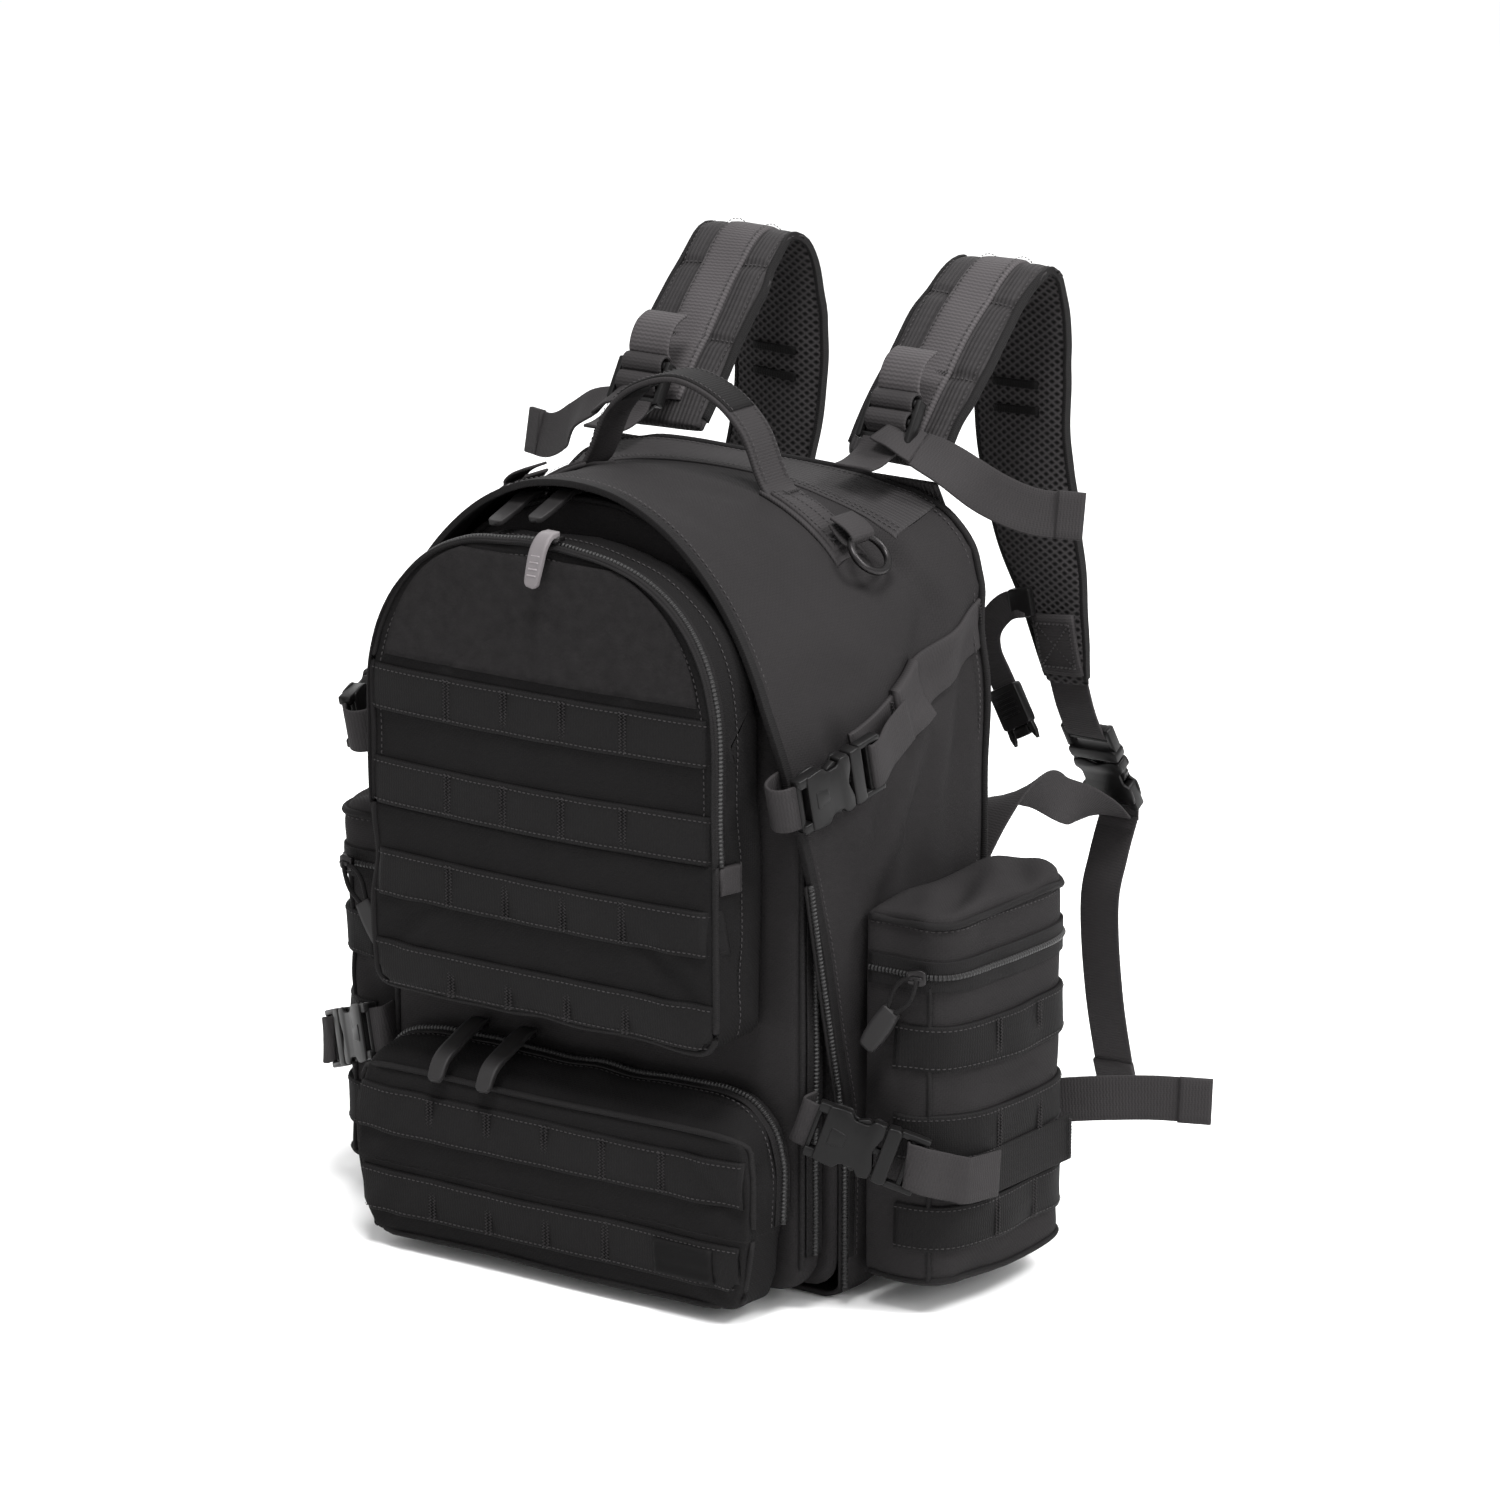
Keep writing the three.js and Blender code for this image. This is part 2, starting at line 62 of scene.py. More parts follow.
# Metres and degrees: the camera looks at its target from an azimuth and an elevation.
CAMERA_TARGET, CAMERA_ANGLES, CAMERA_DISTANCE = (0.00582, 0, 0.2573), (35.5, 15), 4.0
CAMERA_LENS, CAMERA_SENSOR, FLOOR_HALF = 178.08, 36, 6
# Name, azimuth, elevation, distance, width and power of each lamp.
LIGHTS = (("key", 104, 46, 2.6, 0.9, 66), ("fill", 74, 22, 2.8, 1.0, 18),
          ("top", 30, 66, 2.4, 0.8, 66), ("rim", 215, 35, 2.6, 1.4, 18))
ARCH_STEPS, CORNER_STEPS = 22, 12
AHEAD, ABOVE = -260.0, 470  # places in front of and over the pack, from which lines are dropped on it
POUCH_REAR = -136.6  # where the front pouches are cut open against the compartment
WARM_GREEN, WARM_BLUE = 0.96, 0.975  # share of the red level in every grey: a little warm
SHARP = math.radians(38)  # moulded edges sharper than this are crisp


# ---------------------------------------------------------------- camera, light and floor
def direction(azimuth, elevation):
    a, e = math.radians(azimuth), math.radians(elevation)
    return Vector((math.sin(a) * math.cos(e), -math.cos(a) * math.cos(e), math.sin(e)))


def make_camera():
    back = direction(*CAMERA_ANGLES)
    data = bpy.data.cameras.new("camera")
    data.lens, data.sensor_width = CAMERA_LENS, CAMERA_SENSOR
    data.clip_start, data.clip_end = 0.1, 50
    camera = bpy.data.objects.new("camera", data)
    bpy.context.scene.collection.objects.link(camera)
    camera.location = Vector(CAMERA_TARGET) + back * CAMERA_DISTANCE
    camera.rotation_mode = "QUATERNION"
    camera.rotation_quaternion = (-back).to_track_quat("-Z", "Y")
    bpy.context.scene.camera = camera


def area_light(name, azimuth, elevation, distance, size, power):
    data = bpy.data.lights.new(name, "AREA")
    data.shape, data.size, data.energy = "DISK", size, power
    light = bpy.data.objects.new(name, data)
    bpy.context.scene.collection.objects.link(light)
    way = direction(azimuth, elevation)
    light.location = Vector((0, 0, 0.25)) + way * distance
    light.rotation_mode = "QUATERNION"
    light.rotation_quaternion = way.to_track_quat("Z", "Y")


def make_stage():
    scene = bpy.context.scene
    scene.view_settings.view_transform = "Standard"
    world = bpy.data.worlds.new("studio")
    world.use_nodes = True
    world.node_tree.nodes["Background"].inputs["Color"].default_value = (1, 1, 1, 1)
    world.node_tree.nodes["Background"].inputs["Strength"].default_value = 1.0
    scene.world = world
    mesh = bpy.data.meshes.new("floor")
    corners = [(x * FLOOR_HALF, y * FLOOR_HALF, 0) for x, y in ((-1, -1), (1, -1), (1, 1), (-1, 1))]
    mesh.from_pydata(corners, [], [(0, 1, 2, 3)])
    floor = bpy.data.objects.new("floor", mesh)
    scene.collection.objects.link(floor)
    pale = bpy.data.materials.new("floor")
    pale.use_nodes = True
    shader = pale.node_tree.nodes["Principled BSDF"]
    shader.inputs["Base Color"].default_value = (0.9, 0.9, 0.9, 1)
    shader.inputs["Roughness"].default_value = 0.9
    mesh.materials.append(pale)
    for light in LIGHTS:
        area_light(*light)


# ---------------------------------------------------------------- materials
class Graph:
    """A material's node tree, with short calls for the nodes that the finishes share."""

    def __init__(self, name, base, roughness, metallic=0.0, level=0.2):
        self.material = bpy.data.materials.new(name)
        self.material.use_nodes = True
        self.tree = self.material.node_tree
        self.shader = self.tree.nodes["Principled BSDF"]
        self.base = base
        self.shader.inputs["Base Color"].default_value = (*base, 1)
        self.shader.inputs["Roughness"].default_value = roughness
        self.shader.inputs["Metallic"].default_value = metallic
        self.shader.inputs["Specular IOR Level"].default_value = level

    def node(self, kind, **settings):
        made = self.tree.nodes.new("ShaderNode" + kind)
        for key, value in settings.items():
            setattr(made, key, value)
        return made

    def join(self, source, target):
        self.tree.links.new(source, target)

    def feed(self, socket, value):
        if isinstance(value, bpy.types.NodeSocket):
            self.join(value, socket)
        else:
            socket.default_value = value

    def math(self, operation, a, b=0.0, c=0.0):
        made = self.node("Math", operation=operation)
        for socket, value in zip(made.inputs, (a, b, c)):
            self.feed(socket, value)
        return made.outputs[0]

    def noise(self, where, scale, detail=3.0, rough=0.55):
        made = self.node("TexNoise")
        self.join(where, made.inputs["Vector"])
        made.inputs["Scale"].default_value = scale
        made.inputs["Detail"].default_value = detail
        made.inputs["Roughness"].default_value = rough
        return made.outputs["Fac"]

    def place(self):
        return self.node("TexCoord").outputs["Object"]

    def flat(self):
        """Place on the surface in millimetres: the two coordinates across its main direction."""
        p = self.node("SeparateXYZ")
        self.join(self.place(), p.inputs[0])
        n = self.node("SeparateXYZ")
        self.join(self.node("NewGeometry").outputs["True Normal"], n.inputs[0])
        facing = [self.math("ABSOLUTE", n.outputs[k]) for k in range(3)]
        side = self.math("GREATER_THAN", facing[0], self.math("MAXIMUM", facing[1], facing[2]))
        level = self.math("GREATER_THAN", facing[2], self.math("MAXIMUM", facing[0], facing[1]))
        u = self.choose(side, p.outputs[0], p.outputs[1])
        v = self.choose(level, p.outputs[2], p.outputs[1])
        return self.math("MULTIPLY", u, 1000), self.math("MULTIPLY", v, 1000)

    def choose(self, fac, a, b):
        made = self.node("Mix", data_type="FLOAT")
        self.feed(made.inputs[0], fac)
        self.feed(made.inputs[2], a)
        self.feed(made.inputs[3], b)
        return made.outputs[0]

    def lay(self):
        """Place along and across a strip, in millimetres."""
        made = self.node("Attribute", attribute_name="lay")
        split = self.node("SeparateXYZ")
        self.join(made.outputs["Vector"], split.inputs[0])
        return split.outputs[0], split.outputs[1]

    def wave(self, value, period, phase=0.0):
        turn = self.math("MULTIPLY_ADD", value, 2 * math.pi / period, phase)
        return self.math("SINE", turn)

    def shade(self, fac, low, high):
        """Colour that runs from low to high times the base colour as fac goes from 0 to 1."""
        made = self.node("Mix", data_type="RGBA")
        self.feed(made.inputs[0], fac)
        made.inputs[6].default_value = (*[c * low for c in self.base], 1)
        made.inputs[7].default_value = (*[c * high for c in self.base], 1)
        self.join(made.outputs[2], self.shader.inputs["Base Color"])

    def bump(self, height, distance, strength=1.0):
        made = self.node("Bump")
        made.inputs["Strength"].default_value = strength
        made.inputs["Distance"].default_value = distance * MM
        self.join(height, made.inputs["Height"])
        self.join(made.outputs[0], self.shader.inputs["Normal"])

    def rough(self, fac, low, high):
        made = self.node("MapRange")
        self.join(fac, made.inputs["Value"])
        made.inputs["To Min"].default_value = low
        made.inputs["To Max"].default_value = high
        self.join(made.outputs[0], self.shader.inputs["Roughness"])

    def worn(self):
        """1 on a raised edge, 0 elsewhere."""
        made = self.node("MapRange")
        self.join(self.node("NewGeometry").outputs["Pointiness"], made.inputs["Value"])
        made.inputs["From Min"].default_value = 0.53
        made.inputs["From Max"].default_value = 0.62
        return made.outputs[0]


def woven(name, base, thread=1.25, rough=0.78):
    """Plain-weave pack cloth: threads over and under, random blotches of painted crease shade and
    rubbed edges.
    """
    g = Graph(name, base, rough, level=0.05)
    u, v = g.flat()
    warp = g.math("ABSOLUTE", g.wave(u, 2 * thread))
    weft = g.math("ABSOLUTE", g.wave(v, 2 * thread))
    over = g.math("GREATER_THAN", g.math("MULTIPLY", g.wave(u, 2 * thread), g.wave(v, 2 * thread)), 0)
    thread_height = g.choose(over, warp, weft)
    place = g.place()
    uneven = g.noise(place, 15, 7, 0.6)
    grain = g.noise(place, 900, 2)
    height = g.math("MULTIPLY_ADD", grain, 0.5, thread_height)
    g.bump(height, 0.22, 0.55)
    # uneven paints shade: large random blotches of darker and lighter tone that stand in for the shade
    # of small creases in the cloth.
    tone = g.math("MULTIPLY_ADD", uneven, 0.56, g.math("MULTIPLY", thread_height, 0.22))
    tone = g.math("MULTIPLY_ADD", grain, 0.25, tone)
    tone = g.math("MULTIPLY_ADD", g.worn(), 0.45, tone)
    g.shade(g.math("MINIMUM", tone, 1.3), 0.58, 1.5)
    g.rough(uneven, rough - 0.08, rough + 0.12)
    return g.material


def strap_cloth(name, base, rib=1.7, deep=0.05):
    """Woven webbing: ribs across it, a herringbone within them and fine cords along it."""
    g = Graph(name, base, 0.72, level=0.07)
    along, across = g.lay()
    lean = g.math("ABSOLUTE", g.wave(across, 7.0))
    ribs = g.wave(g.math("MULTIPLY_ADD", lean, 0.5, along), rib)
    cords = g.wave(across, 1.15)
    height = g.math("MULTIPLY_ADD", cords, 0.35, ribs)
    grain = g.noise(g.place(), 700, 2)
    height = g.math("MULTIPLY_ADD", grain, 0.8, height)
    g.bump(height, 0.1, 0.6)
    uneven = g.noise(g.place(), 14, 3)
    tone = g.math("MULTIPLY_ADD", ribs, deep, g.math("MULTIPLY_ADD", uneven, 0.5, 0.1))
    tone = g.math("MULTIPLY_ADD", g.worn(), 0.4, tone)
    g.shade(tone, 0.7, 1.4)
    return g.material


def corded(name, base):
    """Strap cloth with fine cords that run lengthwise."""
    g = Graph(name, base, 0.74, level=0.12)
    along, across = g.lay()
    cords = g.wave(across, 2.6)
    picks = g.wave(along, 1.1)
    grain = g.noise(g.place(), 800, 2)
    g.bump(g.math("MULTIPLY_ADD", picks, 0.3, g.math("MULTIPLY_ADD", grain, 0.6, cords)), 0.22, 0.8)
    uneven = g.noise(g.place(), 16, 4)
    tone = g.math("MULTIPLY_ADD", cords, 0.15, g.math("MULTIPLY_ADD", uneven, 0.6, 0.1))
    tone = g.math("MULTIPLY_ADD", g.worn(), 0.4, tone)
    g.shade(tone, 0.62, 1.5)
    return g.material


def fuzzy(name, base):
    """The loop half of a hook-and-loop panel."""
    g = Graph(name, base, 0.95, level=0.05)
    place = g.place()
    loops = g.noise(place, 900, 4, 0.7)
    tufts = g.noise(place, 160, 4)
    g.bump(g.math("MULTIPLY_ADD", tufts, 0.6, loops), 0.9, 0.8)
    g.shade(g.math("MULTIPLY_ADD", tufts, 0.8, g.math("MULTIPLY", loops, 0.5)), 0.5, 1.5)
    return g.material


def spacer(name, base):
    """Three-dimensional spacer mesh: staggered round holes in a knitted face."""
    g = Graph(name, base, 0.85, level=0.1)
    u, v = g.flat()
    lean = [g.math("MULTIPLY_ADD", u, s, g.math("MULTIPLY", v, 0.8)) for s in (0.6, -0.6)]
    first, second = (g.math("MULTIPLY_ADD", g.wave(turn, 3.6), 0.5, 0.5) for turn in lean)
    net = g.math("SUBTRACT", 1.0, g.math("MULTIPLY", first, second))
    knit = g.noise(g.place(), 800, 2)
    g.bump(g.math("MULTIPLY_ADD", knit, 0.2, net), 0.9, 0.9)
    g.shade(g.math("POWER", net, 2.6), 0.16, 1.9)
    return g.material


def moulded(name, base, rough=0.42, level=0.2):
    """Moulded acetal or rubber: a fine spark-eroded grain and edges rubbed a little paler."""
    g = Graph(name, base, rough, level=level)
    place = g.place()
    grain = g.noise(place, 1400, 2)
    flow = g.noise(place, 60, 3)
    g.bump(g.math("MULTIPLY_ADD", flow, 0.5, grain), 0.06, 0.6)
    g.shade(g.math("MULTIPLY_ADD", g.worn(), 0.7, g.math("MULTIPLY", flow, 0.35)), 0.8, 1.9)
    g.rough(flow, rough - 0.08, rough + 0.12)
    return g.material


def metal(name, base, rough, metallic=0.85):
    """Painted or bare metal with a fine brushed scatter and worn edges."""
    g = Graph(name, base, rough, metallic=metallic, level=0.5)
    place = g.place()
    scratch = g.noise(place, 420, 4, 0.7)
    g.bump(scratch, 0.04, 0.5)
    g.shade(g.math("MULTIPLY_ADD", g.worn(), 0.8, g.math("MULTIPLY", scratch, 0.4)), 0.75, 1.8)
    g.rough(scratch, rough - 0.1, rough + 0.15)
    return g.material


def toothed(name, base):
    """Nylon zip coil: turns across its length."""
    g = Graph(name, base, 0.5, level=0.3)
    along, _ = g.lay()
    turns = g.wave(along, 2.2)
    g.bump(turns, 0.5, 0.9)
    g.shade(g.math("MULTIPLY_ADD", turns, 0.35, 0.4), 0.45, 1.7)
    return g.material


def sewing(name, base):
    """Bonded thread: two plies twisted together."""
    g = Graph(name, base, 0.6, level=0.15)
    along, across = g.lay()
    ply = g.wave(g.math("MULTIPLY_ADD", across, 1.0, along), 0.9)
    g.bump(ply, 0.08, 0.8)
    g.shade(g.math("MULTIPLY_ADD", ply, 0.3, 0.5), 0.8, 1.3)
    return g.material


def grey(level):
    """Linear colour of a dark grey whose sRGB value is level."""
    linear = lambda c: ((c / 255 + 0.055) / 1.055) ** 2.4
    return (linear(level), linear(level * WARM_GREEN), linear(level * WARM_BLUE))


# ---------------------------------------------------------------- mesh tools
def spline(points, step=3.0):
    """Catmull-Rom curve through rows of numbers, sampled evenly along the first three."""
    p = np.array(points, float)
    ends = np.vstack([2 * p[0] - p[1], p, 2 * p[-1] - p[-2]])
    dense = []
    for a, b, c, d in zip(ends, ends[1:], ends[2:], ends[3:]):
        for t in np.linspace(0, 1, 24, endpoint=False):
            dense.append(0.5 * (2 * b + (c - a) * t + (2 * a - 5 * b + 4 * c - d) * t**2
                                + (3 * b - a - 3 * c + d) * t**3))
    dense.append(p[-1])
    return evenly(np.array(dense), step)


def distance_along(path):
    return np.concatenate([[0], np.cumsum(np.linalg.norm(np.diff(path[:, :3], axis=0), axis=1))])


def evenly(p, step):
    """The rows of numbers along a path, sampled at even steps."""
    run = distance_along(p)
    at = np.linspace(0, run[-1], max(3, int(round(run[-1] / step)) + 1))
    return np.stack([np.interp(at, run, p[:, k]) for k in range(p.shape[1])], 1)


def evenly_flat(points, step):
    """The same for points of two numbers."""
    points = np.asarray(points, float)
    return evenly(np.column_stack([points, np.zeros(len(points))]), step)[:, :2]


def unit(v):
    v = np.asarray(v, float)
    return v / np.maximum(np.linalg.norm(v, axis=-1, keepdims=True), 1e-9)


def add(name, verts, faces, material, body, replaces=(), slot=None, lay=None, materials=None,
        pick=None):
    """Makes a piece from vertices in millimetres, on a body, in place of CAD nodes."""
    mesh = bpy.data.meshes.new(name)
    mesh.from_pydata([tuple(v) for v in np.asarray(verts, float) * MM], [], [tuple(f) for f in faces])
    for m in materials or [material]:
        mesh.materials.append(m)
    if pick is not None:
        mesh.polygons.foreach_set("material_index", [int(k) for k in pick])
    if lay is not None:
        attribute = mesh.attributes.new("lay", "FLOAT_VECTOR", "POINT")
        attribute.data.foreach_set("vector", np.asarray(lay, np.float32).ravel())
    mesh.validate()
    mesh.polygons.foreach_set("use_smooth", [True] * len(mesh.polygons))
    made = bpy.data.objects.new(name, mesh)
    bpy.context.scene.collection.objects.link(made)
    if body:
        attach(made, body)
    if replaces:
        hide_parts(*replaces)
    return made


def put(name, data, material, body, replaces=(), slot="webbing"):
    """A piece from (verts, faces, lay)."""
    return add(name, data[0], data[1], material, body, replaces, slot, data[2])


def sided(part, sign):
    """(verts, faces) as given for the right, or mirrored for the left."""
    if sign > 0:
        return part[0], part[1]
    return np.asarray(part[0], float) * (-1, 1, 1), [tuple(reversed(f)) for f in part[1]]


def on_side(body, side):
    """The body's name with its side after it, unless there is only one such body."""
    return body if body in ONE_BODY else f"{body}_{side}"


def pair(name, verts, faces, material, body, replaces=(), **more):
    """The right-hand piece and its mirror image. body and replaces take the side's name after them."""
    made = []
    for side, sign in SIDES:
        v, f = sided((verts, faces), sign)
        made.append(add(f"{name}_{side}", v, f, material, on_side(body, side),
                        [f"{n}_{side}" for n in replaces],
                        **more))
    return made


def weld(parts):
    """Several (verts, faces[, lay]) as one."""
    verts, faces, lays, base = [], [], [], 0
    for part in parts:
        verts.append(np.asarray(part[0], float))
        faces += [tuple(i + base for i in f) for f in part[1]]
        lays.append(part[2] if len(part) > 2 else np.zeros((len(part[0]), 3)))
        base += len(part[0])
    return np.vstack(verts), faces, np.vstack(lays)


def grid_faces(rows, columns, wrap=False):
    across = columns if wrap else columns - 1
    return [(i * columns + j, i * columns + (j + 1) % columns, (i + 1) * columns + (j + 1) % columns,
             (i + 1) * columns + j) for i in range(rows - 1) for j in range(across)]


def end_faces(rows, columns):
    return [tuple(range(columns))[::-1], tuple((rows - 1) * columns + j for j in range(columns))]


def rings_mesh(rings):
    """Skin through equal closed rings, with a face on each end. Faces point outward."""
    rings = np.asarray(rings, float)
    rows, columns = rings.shape[:2]
    verts = rings.reshape(-1, 3)
    faces = grid_faces(rows, columns, True) + end_faces(rows, columns)
    mids = verts.mean(0)
    volume = 0.0
    for f in faces:
        a = verts[f[0]] - mids
        for j, k in zip(f[1:], f[2:]):
            volume += np.dot(a, np.cross(verts[j] - mids, verts[k] - mids))
    return verts, faces if volume > 0 else [tuple(reversed(f)) for f in faces]


EDGE = ((-1.0, 0.3), (-0.985, 0.8), (-0.93, 1.0), (-0.6, 1.0), (-0.2, 1.0), (0.2, 1.0), (0.6, 1.0),
        (0.93, 1.0),
        (0.985, 0.8), (1.0, 0.3))


def strip(path, across, width=25.0, thick=1.6, ripple=0.0):
    """Flat webbing along a path. width and thick are numbers or one for each point."""
    path = np.asarray(path, float)
    n = len(path)
    across = np.broadcast_to(np.asarray(across, float), (n, 3))
    width, thick = np.broadcast_to(width, n), np.broadcast_to(thick, n)
    tangent = unit(np.gradient(path, axis=0))
    across = unit(across - tangent * (across * tangent).sum(1, keepdims=True))
    normal = np.cross(tangent, across)
    run = distance_along(path)
    section = [(u, h) for u, h in EDGE] + [(u, -h) for u, h in reversed(EDGE)]
    verts, lay = [], []
    for u, h in section:
        curl = ripple * (u * u - 0.4) * np.sin(run / 23.0)[:, None]
        rise = (h * thick / 2)[:, None] + curl
        verts.append(path + across * (u * width / 2)[:, None] + normal * rise)
        lay.append(np.stack([run, u * width / 2, np.full(n, h)], 1))
    verts, lay = np.stack(verts, 1).reshape(-1, 3), np.stack(lay, 1).reshape(-1, 3)
    columns = len(section)
    return verts, grid_faces(n, columns, True) + end_faces(n, columns), lay


def tube(path, radius, sides=8, closed=False, up=(0, 0, 1)):
    """Round cord or piping along a path."""
    path = np.asarray(path, float)
    n = len(path)
    if closed:
        tangent = unit(np.roll(path, -1, 0) - np.roll(path, 1, 0))
    else:
        tangent = unit(np.gradient(path, axis=0))
    side = np.cross(tangent, up)
    weak = np.linalg.norm(side, axis=1) < 0.2
    side[weak] = np.cross(tangent[weak], (1, 0.2, 0))
    side = unit(side)
    other = np.cross(tangent, side)
    run = distance_along(path)
    radius = np.broadcast_to(radius, n)
    verts, lay = [], []
    for k in range(sides):
        a = 2 * math.pi * k / sides
        verts.append(path + radius[:, None] * (math.cos(a) * side + math.sin(a) * other))
        lay.append(np.stack([run, np.full(n, a * radius.mean()), np.zeros(n)], 1))
    verts, lay = np.stack(verts, 1).reshape(-1, 3), np.stack(lay, 1).reshape(-1, 3)
    faces = grid_faces(n, sides, True)
    if closed:
        last = (n - 1) * sides
        faces += [(last + j, last + (j + 1) % sides, (j + 1) % sides, j) for j in range(sides)]
    else:
        faces += end_faces(n, sides)
    return verts, faces, lay


class Skin:
    """A finished surface that other pieces are laid on, in millimetres."""

    def __init__(self, verts, faces):
        self.tree = BVHTree.FromPolygons([tuple(v) for v in verts], [tuple(f) for f in faces])

    def shoot(self, starts, way, far=400.0):
        """Each start's first hit going way. A start that misses takes its place from its neighbours."""
        starts = np.asarray(starts, float)
        ways = np.broadcast_to(unit(way), starts.shape)
        out = []
        for start, w in zip(starts.reshape(-1, 3), ways.reshape(-1, 3)):
            hit = self.tree.ray_cast(Vector(start), Vector(w), far)[0]
            out.append(tuple(hit) if hit else (math.nan,) * 3)
        out = np.array(out)
        good = ~np.isnan(out[:, 0])
        if not good.all() and good.any():
            at = np.arange(len(out))
            for k in range(3):
                out[~good, k] = np.interp(at[~good], at[good], out[good, k])
        return out.reshape(starts.shape)

    def trace(self, points, outs, reach=30.0):
        """A line of points on the surface, looked for from outside along outs."""
        points, outs = np.asarray(points, float), unit(outs)
        outs = np.broadcast_to(outs, points.shape)
        line = self.shoot(points + outs * reach, -outs, reach * 3)
        for _ in range(2):
            line[1:-1] = (line[:-2] + 2 * line[1:-1] + line[2:]) / 4
        return line


def laid(skin, middles, across, width, way, lift, thick=1.5):
    """Webbing dropped on a surface along way, its middles lifted by one height or one for each."""
    middles = np.asarray(middles, float)
    n = len(middles)
    lift = np.broadcast_to(np.asarray(lift, float), n)
    across = np.broadcast_to(unit(across), middles.shape)
    columns = np.array([u for u, _ in EDGE])
    rise = np.array([h for _, h in EDGE])
    grid = middles[:, None, :] + across[:, None, :] * (columns * width / 2)[None, :, None]
    ways = np.broadcast_to(unit(way), middles.shape)
    spread = np.broadcast_to(ways[:, None, :], grid.shape)
    hits = skin.shoot(grid - spread * 60, spread, 200)
    for _ in range(2):
        hits[1:-1] = (hits[:-2] + 2 * hits[1:-1] + hits[2:]) / 4
    top = hits - spread * (lift[:, None, None] + thick * rise[None, :, None])
    low = hits - spread * (lift[:, None, None] * 0.4 - 0.4)
    run = distance_along(middles)
    ring = np.concatenate([top, low[:, ::-1]], 1)
    u = np.concatenate([columns, columns[::-1]]) * width / 2
    lay = np.stack([np.broadcast_to(run[:, None], ring.shape[:2]), np.broadcast_to(u, ring.shape[:2]),
                    np.zeros(ring.shape[:2])], 2)
    count = ring.shape[1]
    faces = grid_faces(n, count, True) + end_faces(n, count)
    if np.dot(np.cross(ring[1, 0] - ring[0, 0], ring[0, 1] - ring[0, 0]), -ways[0]) > 0:
        faces = [tuple(reversed(f)) for f in faces]
    return ring.reshape(-1, 3), faces, lay.reshape(-1, 3)


def raised(hits, height, sink):
    """A closed panel on a grid of surface points, from sink behind them to height ahead of them."""
    rows, columns = hits.shape[:2]
    count = rows * columns
    front, back = hits - np.array((0, 1, 0)) * height, hits + np.array((0, sink, 0))
    faces = grid_faces(rows, columns)
    rim = [(0, j) for j in range(columns)] + [(i, columns - 1) for i in range(1, rows)]
    rim += [(rows - 1, j) for j in range(columns - 2, -1, -1)]
    rim += [(i, 0) for i in range(rows - 2, 0, -1)]
    ids = [i * columns + j for i, j in rim]
    wall = [(b, a, a + count, b + count) for a, b in zip(ids, ids[1:] + ids[:1])]
    behind = [tuple(i + count for i in reversed(f)) for f in faces]
    return np.vstack([front.reshape(-1, 3), back.reshape(-1, 3)]), faces + behind + wall


def stitches(line, ups, pitch=3.4, size=0.42, span=0.62):
    """Lock stitches along a line on a surface: short threads that dip at both ends."""
    line = np.asarray(line, float)
    ups = np.broadcast_to(unit(ups), line.shape)
    both = evenly(np.hstack([line, ups]), pitch)
    spots, up = both[:, :3], unit(both[:, 3:])
    verts, faces, lay = [], [], []
    for k in range(len(spots) - 1):
        a, b = spots[k], spots[k] + (spots[k + 1] - spots[k]) * span
        t = unit(b - a)
        s = np.cross(up[k], t)
        base = len(verts)
        for q, (f, h, w) in enumerate(((0, 0.0, 0.5), (0.2, 0.9, 1), (0.8, 0.9, 1), (1, 0.0, 0.5))):
            c = a + (b - a) * f + up[k] * size * h
            for e in ((-1, 0), (0, 1), (1, 0)):
                verts.append(c + s * size * w * e[0] + up[k] * size * w * e[1] * 0.7)
                lay.append((f * 2.2, e[0], 0))
        for q in range(3):
            for e in range(2):
                i = base + q * 3 + e
                faces.append((i, i + 1, i + 4, i + 3))
    return np.array(verts).reshape(-1, 3), faces, np.array(lay, float).reshape(-1, 3)


def bar_tack(skin, middle, along, length, way, width=2.2, lift=0.0):
    """A dense zigzag of thread across webbing, laid on the surface under it."""
    turns = max(4, int(length / 0.9))
    along, way = unit(along), unit(way)
    side = np.cross(along, way)
    points = [middle + along * (length * (k / turns - 0.5)) + side * (width / 2 * (-1) ** k)
              for k in range(turns + 1)]
    if skin is not None:
        points = skin.shoot(np.array(points) - way * 60, way, 200)
        level = np.array([p @ way for p in points])
        points = points - way[None] * (level - level.mean())[:, None]
    points = np.array(points) - way * lift
    return tube(points, 0.45, 4, up=tuple(-way))


def merge_by_body(store):
    for (name, body), parts in store.items():
        put(name, weld(parts), THREAD, body)


def soft_mesh(name, verts, faces, voxel):
    """A closed form remeshed evenly, ready to be inflated."""
    mesh = bpy.data.meshes.new(name)
    mesh.from_pydata([tuple(v) for v in np.asarray(verts) * MM], [], faces)
    made = bpy.data.objects.new(name, mesh)
    bpy.context.scene.collection.objects.link(made)
    remesh = made.modifiers.new("remesh", "REMESH")
    remesh.mode, remesh.voxel_size = "VOXEL", voxel * MM
    settle(made)
    return made


def settle(made):
    """Makes the shown shape the mesh itself and drops the modifiers."""
    bpy.context.view_layer.update()
    shown = bpy.data.meshes.new_from_object(made.evaluated_get(bpy.context.evaluated_depsgraph_get()))
    made.modifiers.clear()
    old, made.data = made.data, shown
    bpy.data.meshes.remove(old)


def points_of(mesh):
    co = np.zeros(len(mesh.vertices) * 3, np.float32)
    mesh.vertices.foreach_get("co", co)
    return co.reshape(-1, 3).astype(float)


